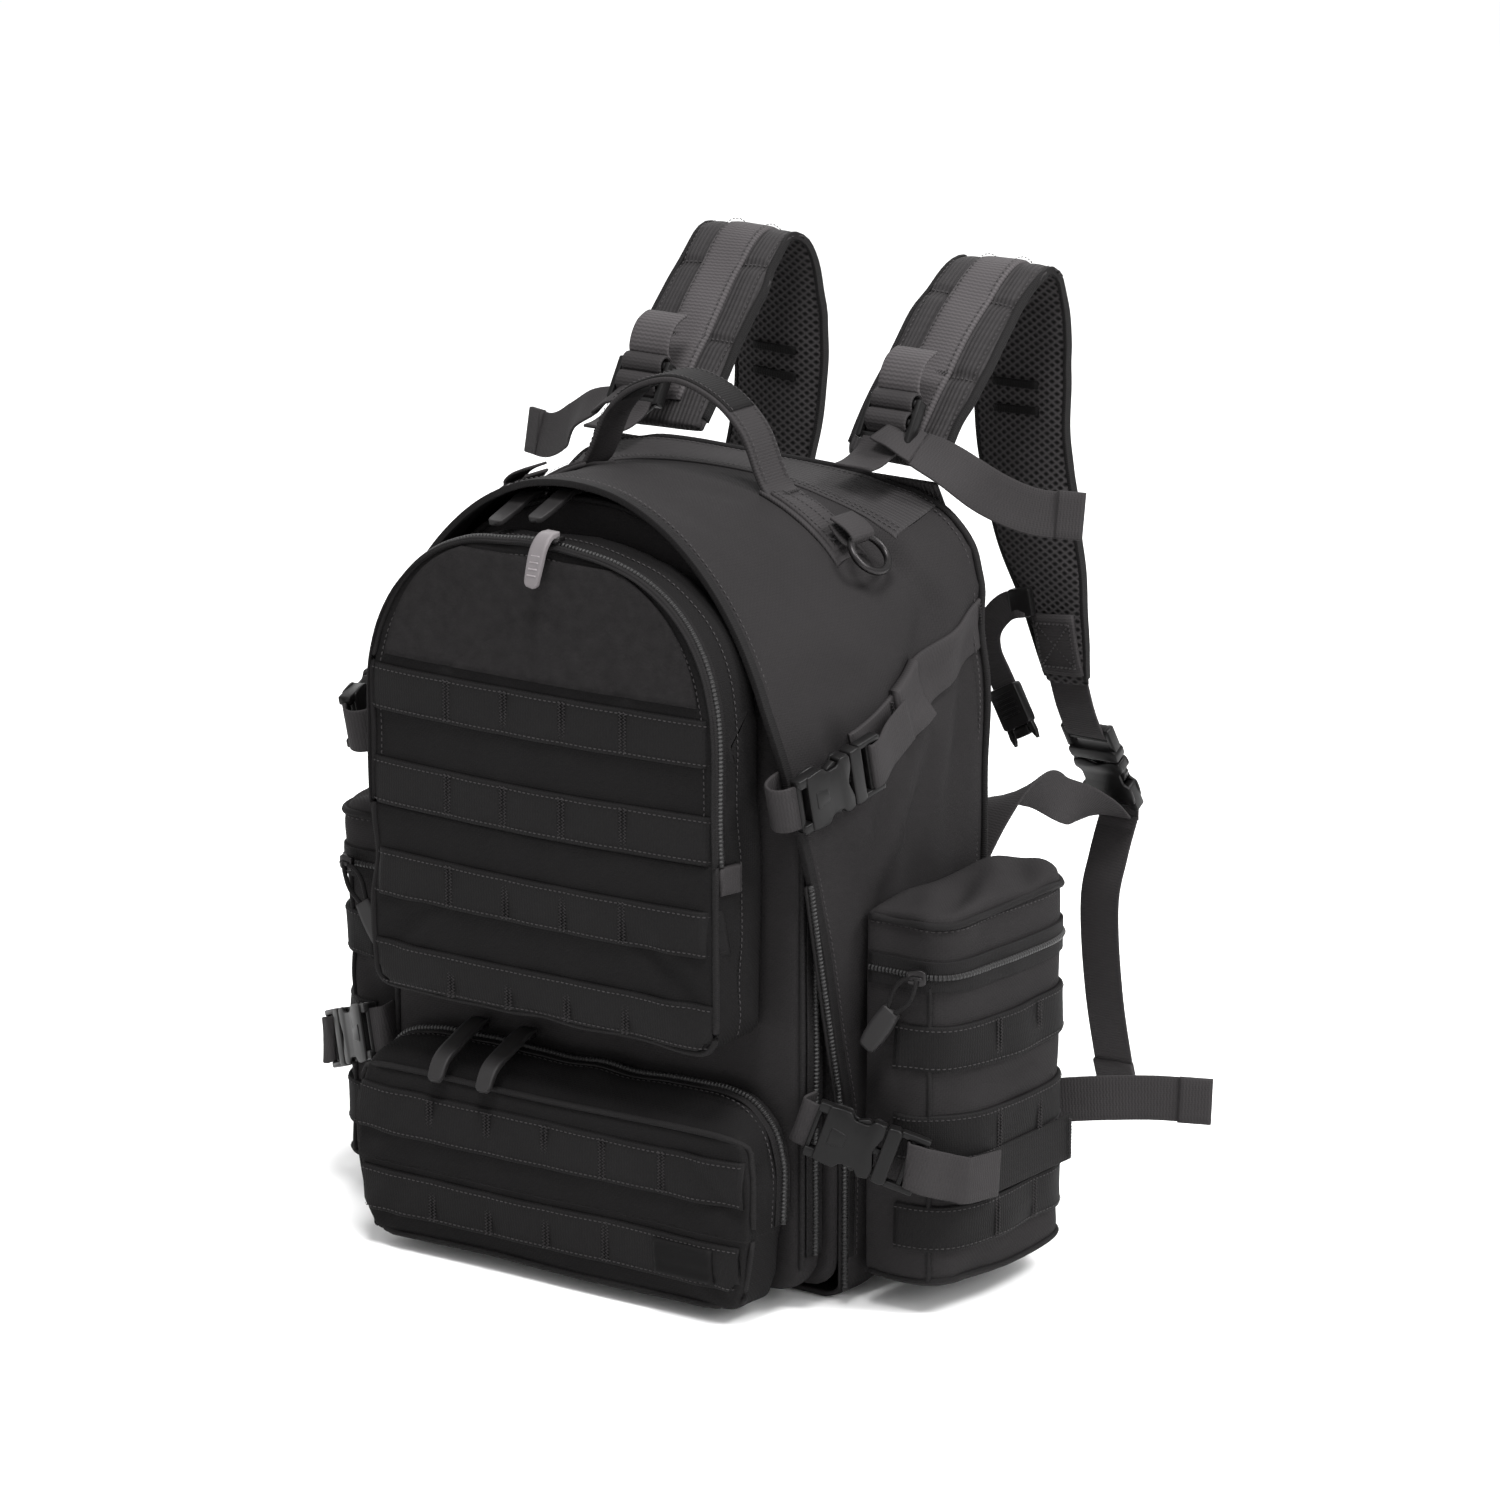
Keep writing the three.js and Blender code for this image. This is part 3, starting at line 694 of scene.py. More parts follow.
def inflate(name, verts, faces, voxel=5.5, cap=5.0, pressure=4.0, seam=None, frames=20, relax=2):
    """Cloth with air pressure in it, applied.

    seam(points) says how firmly each point is sewn down, from 0 to 1.
    """
    made = soft_mesh(name, verts, faces, voxel)
    rest = points_of(made.data)
    held = np.clip(seam(rest / MM), 0, 1) if seam else np.zeros(len(rest))
    group = made.vertex_groups.new(name="sewn")
    for index, weight in enumerate(held):
        if weight > 0.01:
            group.add([index], float(weight), "REPLACE")
    cloth = made.modifiers.new("cloth", "CLOTH")
    cloth.settings.use_pressure = True
    cloth.settings.uniform_pressure_force = pressure
    cloth.settings.effector_weights.gravity = 0
    cloth.settings.quality = 4
    cloth.settings.vertex_group_mass = "sewn"
    cloth.point_cache.frame_start, cloth.point_cache.frame_end = 1, frames
    for step in range(1, frames + 1):
        bpy.context.scene.frame_set(step)
    moved = points_of(made.evaluated_get(bpy.context.evaluated_depsgraph_get()).data)
    bpy.context.scene.frame_set(1)
    made.modifiers.clear()
    shift = moved - rest
    far = np.linalg.norm(shift, axis=1, keepdims=True)
    shift *= np.minimum(1, cap * MM / np.maximum(far, 1e-9))
    shift *= (1 - held)[:, None]
    co = rest + shift
    made.data.vertices.foreach_set("co", co.ravel())
    bm = bmesh.new()
    bm.from_mesh(made.data)
    for _ in range(relax):
        bmesh.ops.smooth_vert(bm, verts=bm.verts, factor=0.5, use_axis_x=True, use_axis_y=True,
                              use_axis_z=True)
    verts = np.array([v.co for v in bm.verts]) / MM
    faces = [tuple(v.index for v in f.verts) for f in bm.faces]
    bm.free()
    bpy.data.objects.remove(made)
    return verts, faces


def crumple(verts, faces, field):
    """Moves each point along its own normal by field(points) millimetres."""
    mesh = bpy.data.meshes.new("crumple")
    mesh.from_pydata([tuple(v) for v in verts], [], faces)
    normals = np.zeros(len(mesh.vertices) * 3, np.float32)
    mesh.vertices.foreach_get("normal", normals)
    bpy.data.meshes.remove(mesh)
    return verts + normals.reshape(-1, 3) * field(verts)[:, None]


def wrinkles(verts, scale, stretch=(1, 1, 1), seed=0.0):
    """Smooth noise from -1 to 1, drawn out along axes by stretch."""
    k = np.asarray(stretch, float) * scale
    return np.array([noise.noise(Vector((v * k + seed))) for v in verts])


def crease(points, start, end, width, depth):
    """A fold along a line: a valley between two low ridges, or a ridge where depth is negative."""
    start, end = np.asarray(start, float), np.asarray(end, float)
    run = end - start
    t = np.clip(((points - start) @ run) / (run @ run), 0, 1)
    off = np.linalg.norm(points - start - t[:, None] * run, axis=1)
    fade = np.sin(np.pi * np.clip(t * 0.8 + 0.1, 0, 1))
    return fade * depth * (0.5 * gauss(off - 2.2 * width, width) - gauss(off, width))


def gauss(value, width):
    return np.exp(-((value / width) ** 2))


def carve(verts, faces, cuts, keep):
    """Cuts a surface by planes (point, normal) and keeps the faces whose middle passes keep."""
    bm = bmesh.new()
    made = [bm.verts.new(v) for v in verts]
    for f in faces:
        try:
            bm.faces.new([made[i] for i in f])
        except ValueError:
            pass
    for point, normal in cuts:
        bmesh.ops.bisect_plane(bm, geom=bm.verts[:] + bm.edges[:] + bm.faces[:], plane_co=Vector(point),
                               plane_no=Vector(normal), dist=0.02)
    gone = [f for f in bm.faces if not keep(f.calc_center_median())]
    bmesh.ops.delete(bm, geom=gone, context="FACES")
    bm.verts.index_update()
    out = np.array([v.co for v in bm.verts])
    kept = [tuple(v.index for v in f.verts) for f in bm.faces]
    bm.free()
    return out, kept


def fabric_piece(name, verts, faces, material, body, replaces, slot, thick=2.2):
    """An open sheet of pack cloth, subdivided once and given its thickness inward."""
    made = add(name, verts, faces, material, body, replaces, slot)
    refine = made.modifiers.new("refine", "SUBSURF")
    refine.levels = refine.render_levels = 1
    wall = made.modifiers.new("wall", "SOLIDIFY")
    wall.thickness, wall.offset = thick * MM, -1


# ---------------------------------------------------------------- shapes shared with the CAD
def pack_section(y):
    t = max(0.0, (y - FLAP_EDGE) / (SHELL_REAR - FLAP_EDGE))
    ahead = max(0.0, (y - SHELL_FRONT) / (FLAP_EDGE - SHELL_FRONT))
    return dict(half=148 - 9 * ahead**1.5, base=0, spring=245 + 85 * t, top=438 - 17 * t**0.6,
                power=2.05 + 1.95 * t**4, foot=20)


def outline(half, base, spring, top, power, foot, inset=0.0):
    """The right foot, side and arch as (x, z) points, then the same on the left."""
    half, base, top, foot = half - inset, base + inset, top - inset, max(foot - inset, 4)
    right = []
    for a in np.radians(np.linspace(0, 90, 6)):
        right.append((half - foot + foot * math.sin(a), base + foot - foot * math.cos(a)))
    for z in np.linspace(base + foot, spring, 9)[1:-1]:
        right.append((half, z))
    for k in range(ARCH_STEPS):
        a = k / ARCH_STEPS * math.pi / 2
        right.append((half * math.cos(a) ** (2 / power),
                      spring + (top - spring) * math.sin(a) ** (2 / power)))
    ring = right + [(0, top)] + [(-x, z) for x, z in reversed(right)]
    return np.array(ring)


def arch_line(section, low, y=0.0):
    """The outline over the top, from height low to height low, and its outward directions."""
    ring = outline(**section)
    keep = ring[ring[:, 1] > low]
    first, last = (keep[0][0], low), (keep[-1][0], low)
    line = evenly_flat(np.vstack([first, keep, last]), 4.0)
    run = np.gradient(line, axis=0)
    outs = unit(np.column_stack([run[:, 1], np.zeros(len(run)), -run[:, 0]]))
    points = np.column_stack([line[:, 0], np.full(len(line), y), line[:, 1]])
    if outs[len(outs) // 2][2] < 0:
        outs = -outs
    return points, outs


def arch_height(x, section):
    """Height of a section's arch at x."""
    spring, power = section["spring"], section["power"]
    return spring + (section["top"] - spring) * (1 - (abs(x) / section["half"]) ** power) ** (1 / power)


def skin_height(x, y):
    return arch_height(x, pack_section(y))


def section_rings(section_at, stations, inset=0.0):
    return [np.column_stack([ring[:, 0], np.full(len(ring), y), ring[:, 1]])
            for y in stations for ring in [outline(**section_at(y), inset=inset)]]


# ---------------------------------------------------------------- finishes
CLOTH = woven("pack_cloth", grey(31))
PANEL = woven("panel_cloth", grey(19))
LINING = woven("lining_cloth", grey(32), thread=0.9, rough=0.6)
STRAPS = corded("strap_cloth", grey(39))
WEB = strap_cloth("webbing", grey(42))
WEB_DARK = strap_cloth("molle_webbing", grey(21), deep=0.03)
WEB_RIBBED = strap_cloth("ribbed_webbing", grey(61), rib=2.2, deep=0.26)
WEB_BLACK = strap_cloth("black_webbing", grey(13), deep=0.03)
TAPE = strap_cloth("binding_tape", grey(23), rib=1.2)
LOOP = fuzzy("loop_panel", grey(28))
MESH = spacer("spacer_mesh", grey(36))
PLASTIC = moulded("buckle_plastic", grey(14), 0.34, 0.13)
RUBBER = moulded("grey_rubber", grey(98), 0.5)
PULL = moulded("pull_rubber", grey(30), 0.5)
PATCH = moulded("patch_rubber", grey(14), 0.7, 0.06)
STEEL = metal("dark_metal", grey(36), 0.34)
ALUMINIUM = metal("aluminium", grey(190), 0.35, 1.0)
SHEET = moulded("polyethylene", grey(36), 0.35)
COIL = toothed("zip_coil", grey(24))
THREAD = sewing("thread", grey(46))
threads = {}


def sew(group, body, part):
    threads.setdefault((group, body), []).append(part)


def seam_row(group, body, line, ups, lift=0.0, **more):
    """A stitch line just proud of a surface line."""
    sew(group, body, stitches(np.asarray(line) + unit(ups) * lift, ups, **more))


def piping(name, line, outs, body, radius=1.7, proud=0.7):
    put(name, tube(np.asarray(line) + unit(outs) * radius * proud, radius), TAPE, body)


def zip_run(name, line, outs, across, body, width=19.0):
    """Zip tape along a surface line with its coil down the middle."""
    line, outs = np.asarray(line), unit(outs)
    put(f"{name}_tape", strip(line + outs * 0.7, across, width, 1.0), TAPE, body)
    put(f"{name}_coil", tube(line + outs * 1.6, 1.75), COIL, body, slot="moulded_plastic")


# ---------------------------------------------------------------- main shell and storm flap
def front_limit(z):
    """How far forward (y) the storm flap reaches at height z."""
    corners = ((-60, -104.5), (97, -104.5), (272, -143), (330, -150.5), (500, -150.5))
    return float(np.interp(z, [c[0] for c in corners], [c[1] for c in corners]))


# Folds of the shell: ends as (y, z) on the side, or as points on the crown, then width and depth.
SIDE_FOLDS = (((-35, 305), (-98, 205), 6, -5.0), ((-62, 408), (-84, 335), 8, 7.0),
              ((-16, 396), (-42, 322), 9, 6.0),
              ((-122, 335), (-94, 262), 6, 5.0), ((12, 352), (-12, 236), 8, 5.0),
              ((-75, 300), (-88, 120), 7, 4.5))
CROWN_FOLDS = (((30, -128, 437), (112, -112, 402), 7, 5.0), ((20, -92, 436), (96, -66, 415), 8, 5.0),
               ((96, -40, 412), (138, -20, 352), 8, 5.5), ((-20, -110, 438), (30, -70, 436), 8, 4.4))


def build_shell():
    verts, faces = rings_mesh(section_rings(pack_section, np.linspace(-158, SHELL_REAR, 20), 3.0))

    def sewn(p):
        rear = gauss(p[:, 1] - 22, 7)
        edge = (p[:, 1] < -140) * 1.0
        foot = gauss(p[:, 2] - 3, 10) * 0.8
        back = (p[:, 1] > 18) * (p[:, 2] > 30) * (p[:, 2] < 400) * 0.6
        return np.maximum.reduce([rear, edge, foot, back])

    verts, faces = inflate("shell_form", verts, faces, 6.5, 5.0, 4.0, sewn)

    def folds(p):
        side = np.clip((np.abs(p[:, 0]) - 120) / 20, 0, 1)
        top = np.clip((p[:, 2] - 330) / 60, 0, 1)
        drape = wrinkles(p, 0.013, (1.0, 1.5, 0.5), 3.0) * 6.0 * side
        small = wrinkles(p, 0.034, (1, 1, 0.5), 9.0) * 2.2 * side
        crown = wrinkles(p, 0.018, (0.6, 1, 1), 5.0) * 5.0 * top
        even = np.abs(p[:, :1]) * (1, 0, 0) + p * (0, 1, 1)
        for (y0, z0), (y1, z1), width, depth in SIDE_FOLDS:
            drape += crease(even, (146, y0, z0), (146, y1, z1), width, depth)
        for start, end, width, depth in CROWN_FOLDS:
            crown += crease(even, start, end, width, depth)
        dent = -3.2 * side * gauss(p[:, 1] + 30, 26) * gauss(p[:, 2] - 330, 34)
        pull = -2.2 * side * gauss(p[:, 2] - 300 - (p[:, 1] + 100) * 0.32, 12) * (p[:, 1] > -120)
        edge = np.clip((p[:, 1] + 150) / 20, 0, 1)
        return np.clip(drape + small + crown + dent + pull, -9, 2.8) * edge - 0.6

    verts = crumple(verts, faces, folds)
    verts[:, 2] -= 2.5 * np.clip((16 - verts[:, 2]) / 13, 0, 1)
    skin = Skin(verts, faces)
    edge = [(-104.5, 97), (-143, 272), (-150.5, 330)]
    cuts = [((0, -150.5, 0), (0, 1, 0)), ((0, -104.5, 0), (0, 1, 0))]
    for (y0, z0), (y1, z1) in zip(edge, edge[1:]):
        cuts.append(((0, y0, z0), (0, z1 - z0, -(y1 - y0))))
    v, f = carve(verts, faces, cuts, lambda c: c.y > front_limit(c.z))
    fabric_piece("pack_shell", v, f, CLOTH, "pack", ["main_shell", "storm_flap"], "pack_fabric", 2.6)

    # Bound free edge of the flap, right down both sides.
    arch, outs = arch_line(pack_section(-149), 330, y=-149.0)
    line = skin.trace(arch, outs)
    down = [(-149, 326), (-145.8, 300), (-142, 272), (-134.5, 238), (-127, 204), (-119, 168),
            (-111, 132),
            (-104.6, 100), (-104, 60), (-104, 26)]
    down = np.array([(150, y, z) for y, z in down])
    right = skin.trace(spline(down, 4), (1, 0, 0))
    left = right * (-1, 1, 1)
    whole = np.vstack([right[::-1], line, left])
    outward = np.vstack([np.tile((1, 0, 0), (len(right), 1)), outs,
                         np.tile((-1, 0, 0), (len(left), 1))])
    whole = evenly(np.hstack([whole, outward]), 4)
    for _ in range(4):
        whole[1:-1] = (whole[:-2] + 2 * whole[1:-1] + whole[2:]) / 4
    path, outward = whole[:, :3], unit(whole[:, 3:])
    ahead = np.cross(np.gradient(path, axis=0), outward)
    put("flap_binding", strip(path + outward * -0.6, ahead, 5.6, 3.6), TAPE, "pack")
    seam_row("flap_stitches", "pack", path + np.array((0, 5.0, 0)), outward, 1.0)

    # The seam where the shell meets the back panel.
    arch, outs = arch_line(pack_section(19.0), 30, y=19.0)
    line = skin.trace(arch, outs)
    piping("rear_piping", line, outs, "pack", 2.0)
    seam_row("shell_stitches", "pack", line + np.array((0, -6.0, 0)), outs, 0.3)
    # Yoke across the rear of the top, under the straps.
    yoke = np.array([(x, -5 + 4 * (x / 100) ** 2, ABOVE) for x in np.linspace(-114, 114, 96)])
    put("top_yoke", laid(skin, yoke, (0, 1, 0), 40, (0, 0, -1), 0.2, 1.2), STRAPS, "pack",
        slot="strap_fabric")
    for shift in (-18, -15, 16):
        line = skin.shoot(yoke + np.array((0, shift, 30)), (0, 0, -1)) + np.array((0, 0, 1.5))
        seam_row("shell_stitches", "pack", line, (0, 0, 1), 0.0)
    # Main zip, seen low on the side in front of the flap's edge.
    for side, sign in SIDES:
        low = [(-137, 236), (-127, 190), (-117, 145), (-109.5, 112), (-107.5, 80), (-107.2, 40),
               (-107.2, 8)]
        points = spline([(sign * (140.5 if z > 110 else 142), y, z) for y, z in low], 4)
        put(f"main_zip_tape_{side}", strip(points, (0, 1, 0.15), 7, 1.2), TAPE, "door")
        put(f"main_zip_coil_{side}", tube(points + np.array((sign * 1.3, 0, 0)), 1.8), COIL, "door",
            slot="moulded_plastic")
    return skin


# ---------------------------------------------------------------- nested doors
def build_doors():
    section = dict(half=140, base=7, spring=252, top=424, power=2.12, foot=18)
    ring = outline(**section, inset=0.8)
    shrink = outline(**section, inset=8)
    rings = []
    for pts, y in ((shrink, -106.2), (ring, -106.8), (ring, -108.8), (shrink, -109.4)):
        rings.append(np.column_stack([pts[:, 0], np.full(len(pts), y), pts[:, 1]]))
    v, f = rings_mesh(rings)
    add("door_panel", v, f, LINING, "door", ["main_door"], "panel_fabric")
    # Elastic loops on the door's inner face.
    for k, z in enumerate((95, 200, 300)):
        spots = np.linspace(-110, 110, 45)
        path = np.array([(x, -104.6 + 0.9 * abs(math.sin(x * math.pi / 44)) * -1, z) for x in spots])
        put(f"door_elastic_{k}", strip(path, (0, 0, 1), 38 if k == 0 else 25, 1.1), WEB_DARK, "door")

    stations = np.linspace(MID["front"], MID["rear"], 6)
    section = {k: MID[k] for k in ("half", "base", "spring", "top", "power", "foot")}
    verts, faces = rings_mesh(section_rings(lambda _: section, stations, 1.2))
    sewn = lambda p: np.maximum(gauss(p[:, 1] + 110, 9), gauss(p[:, 1] + 135, 6) * 0.8)
    verts, faces = inflate("mid_form", verts, faces, 5.5, 1.2, 3.0, sewn, frames=8)
    verts = crumple(verts, faces, lambda p: wrinkles(p, 0.03, (1, 1, 0.6), 2.0) * 0.6 - 0.3)
    skin = Skin(verts, faces)
    v, f = carve(verts, faces, [((0, -111, 0), (0, 1, 0))], lambda c: c.y < -111)
    fabric_piece("front_compartment", v, f, CLOTH, "front", ["mid_compartment"], "pack_fabric")
    arch, outs = arch_line(section, 24, y=-133.5)
    tilted = unit(outs + np.array((0, -0.8, 0)))
    piping("front_compartment_piping", skin.trace(arch, tilted), tilted, "front", 1.7)
    arch, outs = arch_line(section, 30, y=-122)
    zip_run("front_compartment_zip", skin.trace(arch, outs), outs, (0, 1, 0), "front", 14)
    return skin


# ---------------------------------------------------------------- front pouches
def upper_section(y):
    t = (y - UPPER["front"]) / (UPPER["rear"] - UPPER["front"])
    return dict(half=UPPER["half"] * (1 + UPPER["flare"] * t), base=UPPER["base"],
                spring=UPPER["spring"],
                top=UPPER["top"], power=2.6, foot=14)


def molle_row(group, name, skin, body, xs, z, height, slope=0.0, edges=(-110, 110)):
    """One row of webbing across a front panel, humped between its bar tacks at xs."""
    x = np.linspace(edges[0], edges[1], int((edges[1] - edges[0]) / 2.4))
    stops = np.array(sorted([edges[0], *xs, edges[1]]))
    k = np.clip(np.searchsorted(stops, x, "right") - 1, 0, len(stops) - 2)
    part = (x - stops[k]) / (stops[k + 1] - stops[k])
    lift = 0.5 + 0.8 * np.sin(np.pi * np.clip(part, 0, 1))
    middles = np.column_stack([x, np.full(len(x), -200.0), z + slope * x])
    put(name, laid(skin, middles, (0, 0, 1), height, (0, 1, 0), lift), WEB_DARK, body)
    for stop in xs:
        spot = skin.shoot([(stop, AHEAD, z + slope * stop)], (0, 1, 0))[0]
        for gap in (-1.3, 1.3):
            sew(group, body,
                bar_tack(skin, spot + np.array((gap, 0, 0)), (0, 0, 1), height - 3, (0, 1, 0), 1.6,
                         2.2))
    for edge in (-1, 1):
        line = middles + np.array((0, 0, edge * (height / 2 - 2.2)))
        line = skin.shoot(line - np.array((0, 60, 0)), (0, 1, 0))
        line = line - np.array((0, 1, 0)) * (lift[:, None] + 1.55)
        seam_row(group, body, line, (0, -1, 0), 0.05, pitch=3.0, size=0.35)


def build_upper_pouch():
    stations = np.linspace(UPPER["front"], UPPER["rear"], 10)
    rings = section_rings(upper_section, stations, 3.0)
    rings[0] = rings[0] + np.array((0, 3.0, 0))
    rings[-1] = rings[-1] + np.array((0, -2.6, 0))
    verts, faces = rings_mesh(rings)

    def sewn(p):
        wide = np.abs(p[:, 0]) / 112
        tall = np.where(p[:, 2] > 300, (p[:, 2] - 300) / 105, 0)
        rim = np.clip(((wide**2.6 + tall**2.6) ** (1 / 2.6) - 0.88) / 0.09, 0, 1)
        low = np.clip((158 - p[:, 2]) / 8, 0, 1)
        front_edge = gauss(p[:, 1] + 181, 4.5) * np.maximum(rim, low)
        rear = (p[:, 1] > -142) * 1.0
        return np.maximum(front_edge * 0.95, rear)

    verts, faces = inflate("upper_form", verts, faces, 4.6, 5.5, 4.5, sewn)

    def folds(p):
        face = np.clip((-p[:, 1] - 172) / 8, 0, 1)
        side = 1 - face
        long = wrinkles(p, 0.014, (0.7, 1, 1.4), 11.0) * 3.2 * face
        corner = wrinkles(p, 0.04, (1, 0.5, 1), 21.0) * 2.2 * np.clip((195 - p[:, 2]) / 50, 0, 1)
        even = np.abs(p[:, :1]) * (1, 0, 0) + p * (0, 1, 1)
        corner += crease(even, (108, -182, 168), (66, -184, 206), 5, 2.6)
        corner += crease(even, (116, -160, 176), (112, -180, 232), 5, 2.6)
        corner += crease(even, (116, -165, 300), (118, -150, 236), 5, 2.4)
        return long + corner + wrinkles(p, 0.03, (1, 0.5, 0.4), 31.0) * 2.6 * side - 1.0

    verts = crumple(verts, faces, folds)
    skin = Skin(verts, faces)
    rim_y, zip_z = -176.5, UPPER["zip"]
    split_pouch("upper_pouch", verts, faces, rim_y, zip_z, "upper_flap")

    # Piping round the front panel: the arch rides on the flap, the foot on the pouch.
    front = upper_section(-184)
    arch, outs = arch_line(front, zip_z + 2, y=-182.0)
    tilted = unit(outs + np.array((0, -1.0, 0)))
    line = skin.trace(arch, tilted)
    piping("upper_pouch_piping", line, tilted, "upper_flap", 1.9, proud=0.55)
    inner = line + outs * -5.5
    inner = skin.shoot(inner * (1, 0, 1) + np.array((0, AHEAD, 0)), (0, 1, 0))
    seam_row("upper_flap_stitches", "upper_flap", inner, (0, -1, 0), 0.2)
    ring = outline(**front)
    foot = ring[ring[:, 1] < zip_z]
    right = [p for p in foot if p[0] > 0]
    left = [p for p in foot if p[0] < 0]
    base = [(x, UPPER["base"]) for x in (-60, 0, 60)]
    loop = [(left[0][0], zip_z), *left, *base, *right, (right[-1][0], zip_z)]
    loop = evenly_flat(loop, 4)
    run = np.gradient(loop, axis=0)
    outs = unit(np.column_stack([-run[:, 1], np.zeros(len(run)), run[:, 0]]))
    away = np.column_stack([loop[:, 0], np.zeros(len(loop)), loop[:, 1] - 250])
    outs *= np.sign((outs * away).sum(1))[:, None]
    tilted = unit(outs + np.array((0, -1.0, 0)))
    points = np.column_stack([loop[:, 0], np.full(len(loop), -182.0), loop[:, 1]])
    line = skin.trace(points, tilted)
    piping("upper_pouch_foot_piping", line, tilted, "front", 1.9, proud=0.55)

    # Zip round the arch behind the front panel, its two ends tucked under webbing tabs.
    arch, outs = arch_line(upper_section(rim_y), zip_z, y=rim_y + 1)
    line = skin.trace(arch, outs)
    zip_run("upper_pouch_zip", line, outs, (0, 1, 0), "front", 12)
    arch, outs = arch_line(upper_section(-160), 156, y=-160.0)
    line = skin.trace(arch, outs)
    seam_row("pouch_stitches", "front", line, outs, 0.3)
    for side, sign in SIDES:
        tab = np.array([(sign * 118, y, zip_z - 8) for y in np.linspace(-176.5, -163, 8)])
        put(f"zip_end_tab_{side}", laid(skin, tab, (0, 0, 1), 15, (-sign, 0, 0), 0.8, 2.2), WEB,
            "front")

    # Loop field with its seamed V, above the webbing rows.
    xs = np.linspace(-104, 104, 60)
    zs = np.linspace(333, 398, 22)
    reach = [112 * max(0.02, 1 - ((z - 300) / 106.0) ** 2.6) ** (1 / 2.6) - 9 for z in zs]
    grid = np.array([[(x / 104 * r, AHEAD, z) for x in xs] for z, r in zip(zs, reach)])
    hits = skin.shoot(grid, (0, 1, 0))
    dip = 1.6 * (gauss(np.abs(grid[..., 0]) * 0.42 - (395 - grid[..., 2]) * 0.62 + 14, 1.1))
    v, f = raised(hits, 1.4 - dip[..., None] * 0.8, 0.5)
    add("loop_field", v, f, LOOP, "upper_flap", slot="panel_fabric")

    columns = (-57, -19, 19, 57)
    tops = ((327, "upper_flap"), (276, "upper_flap"), (226, "front"), (176, "front"))
    for k, (z, body) in enumerate(tops):
        group = "upper_flap_stitches" if body == "upper_flap" else "pouch_stitches"
        molle_row(group, f"upper_webbing_row_{k}", skin, body, columns, z - 12.5, 25, 0.0,
                  (-111.5, 111.5))
    return skin


def split_pouch(name, verts, faces, rim, zip_z, flap):
    """Cuts an inflated pouch into its flap, ahead of rim and above zip_z, and the body behind it."""
    cuts = [((0, rim, 0), (0, 1, 0)), ((0, 0, zip_z), (0, 0, 1)), ((0, POUCH_REAR, 0), (0, 1, 0))]
    in_flap = lambda c: c.y < rim and c.z > zip_z
    v, f = carve(verts, faces, cuts, in_flap)
    fabric_piece(f"{name}_front", v, f, PANEL, flap, [f"{name}_flap"], "panel_fabric")
    v, f = carve(verts, faces, cuts, lambda c: not in_flap(c))
    fabric_piece(f"{name}_body", v, f, PANEL, "front", [name], "pack_fabric")


def lower_outline(y, inset=0.0):
    half, base = LOWER["half"] - inset, LOWER["base"] + inset
    top = float(np.interp(y, [-178, -175, -169, -145, -135], [100, 107, 112, 123, 123])) - inset
    low = float(np.interp(y, [-178, -171], [8, 0])) + base
    pts = [(-124 + inset, base), (0, base), (124 - inset, base), (128 - inset, 24), (half, 48),
           (half, 70)]
    for a in np.radians(np.linspace(0, 90, 9)):
        pts.append((half - 32 + 32 * math.cos(a), LOWER["top"] - inset - 32 + 32 * math.sin(a)))
    pts += [(60, LOWER["top"] - inset), (0, LOWER["top"] - inset)]
    pts += [(-x, z) for x, z in reversed(pts[3:-1])]
    ring = evenly_flat(pts + [pts[0]], 6)[:-1]
    ring = np.array([ring[int(i)] for i in np.linspace(0, len(ring) - 1, 100)])
    return np.column_stack([ring[:, 0], np.full(len(ring), y), np.clip(ring[:, 1], low, top)])


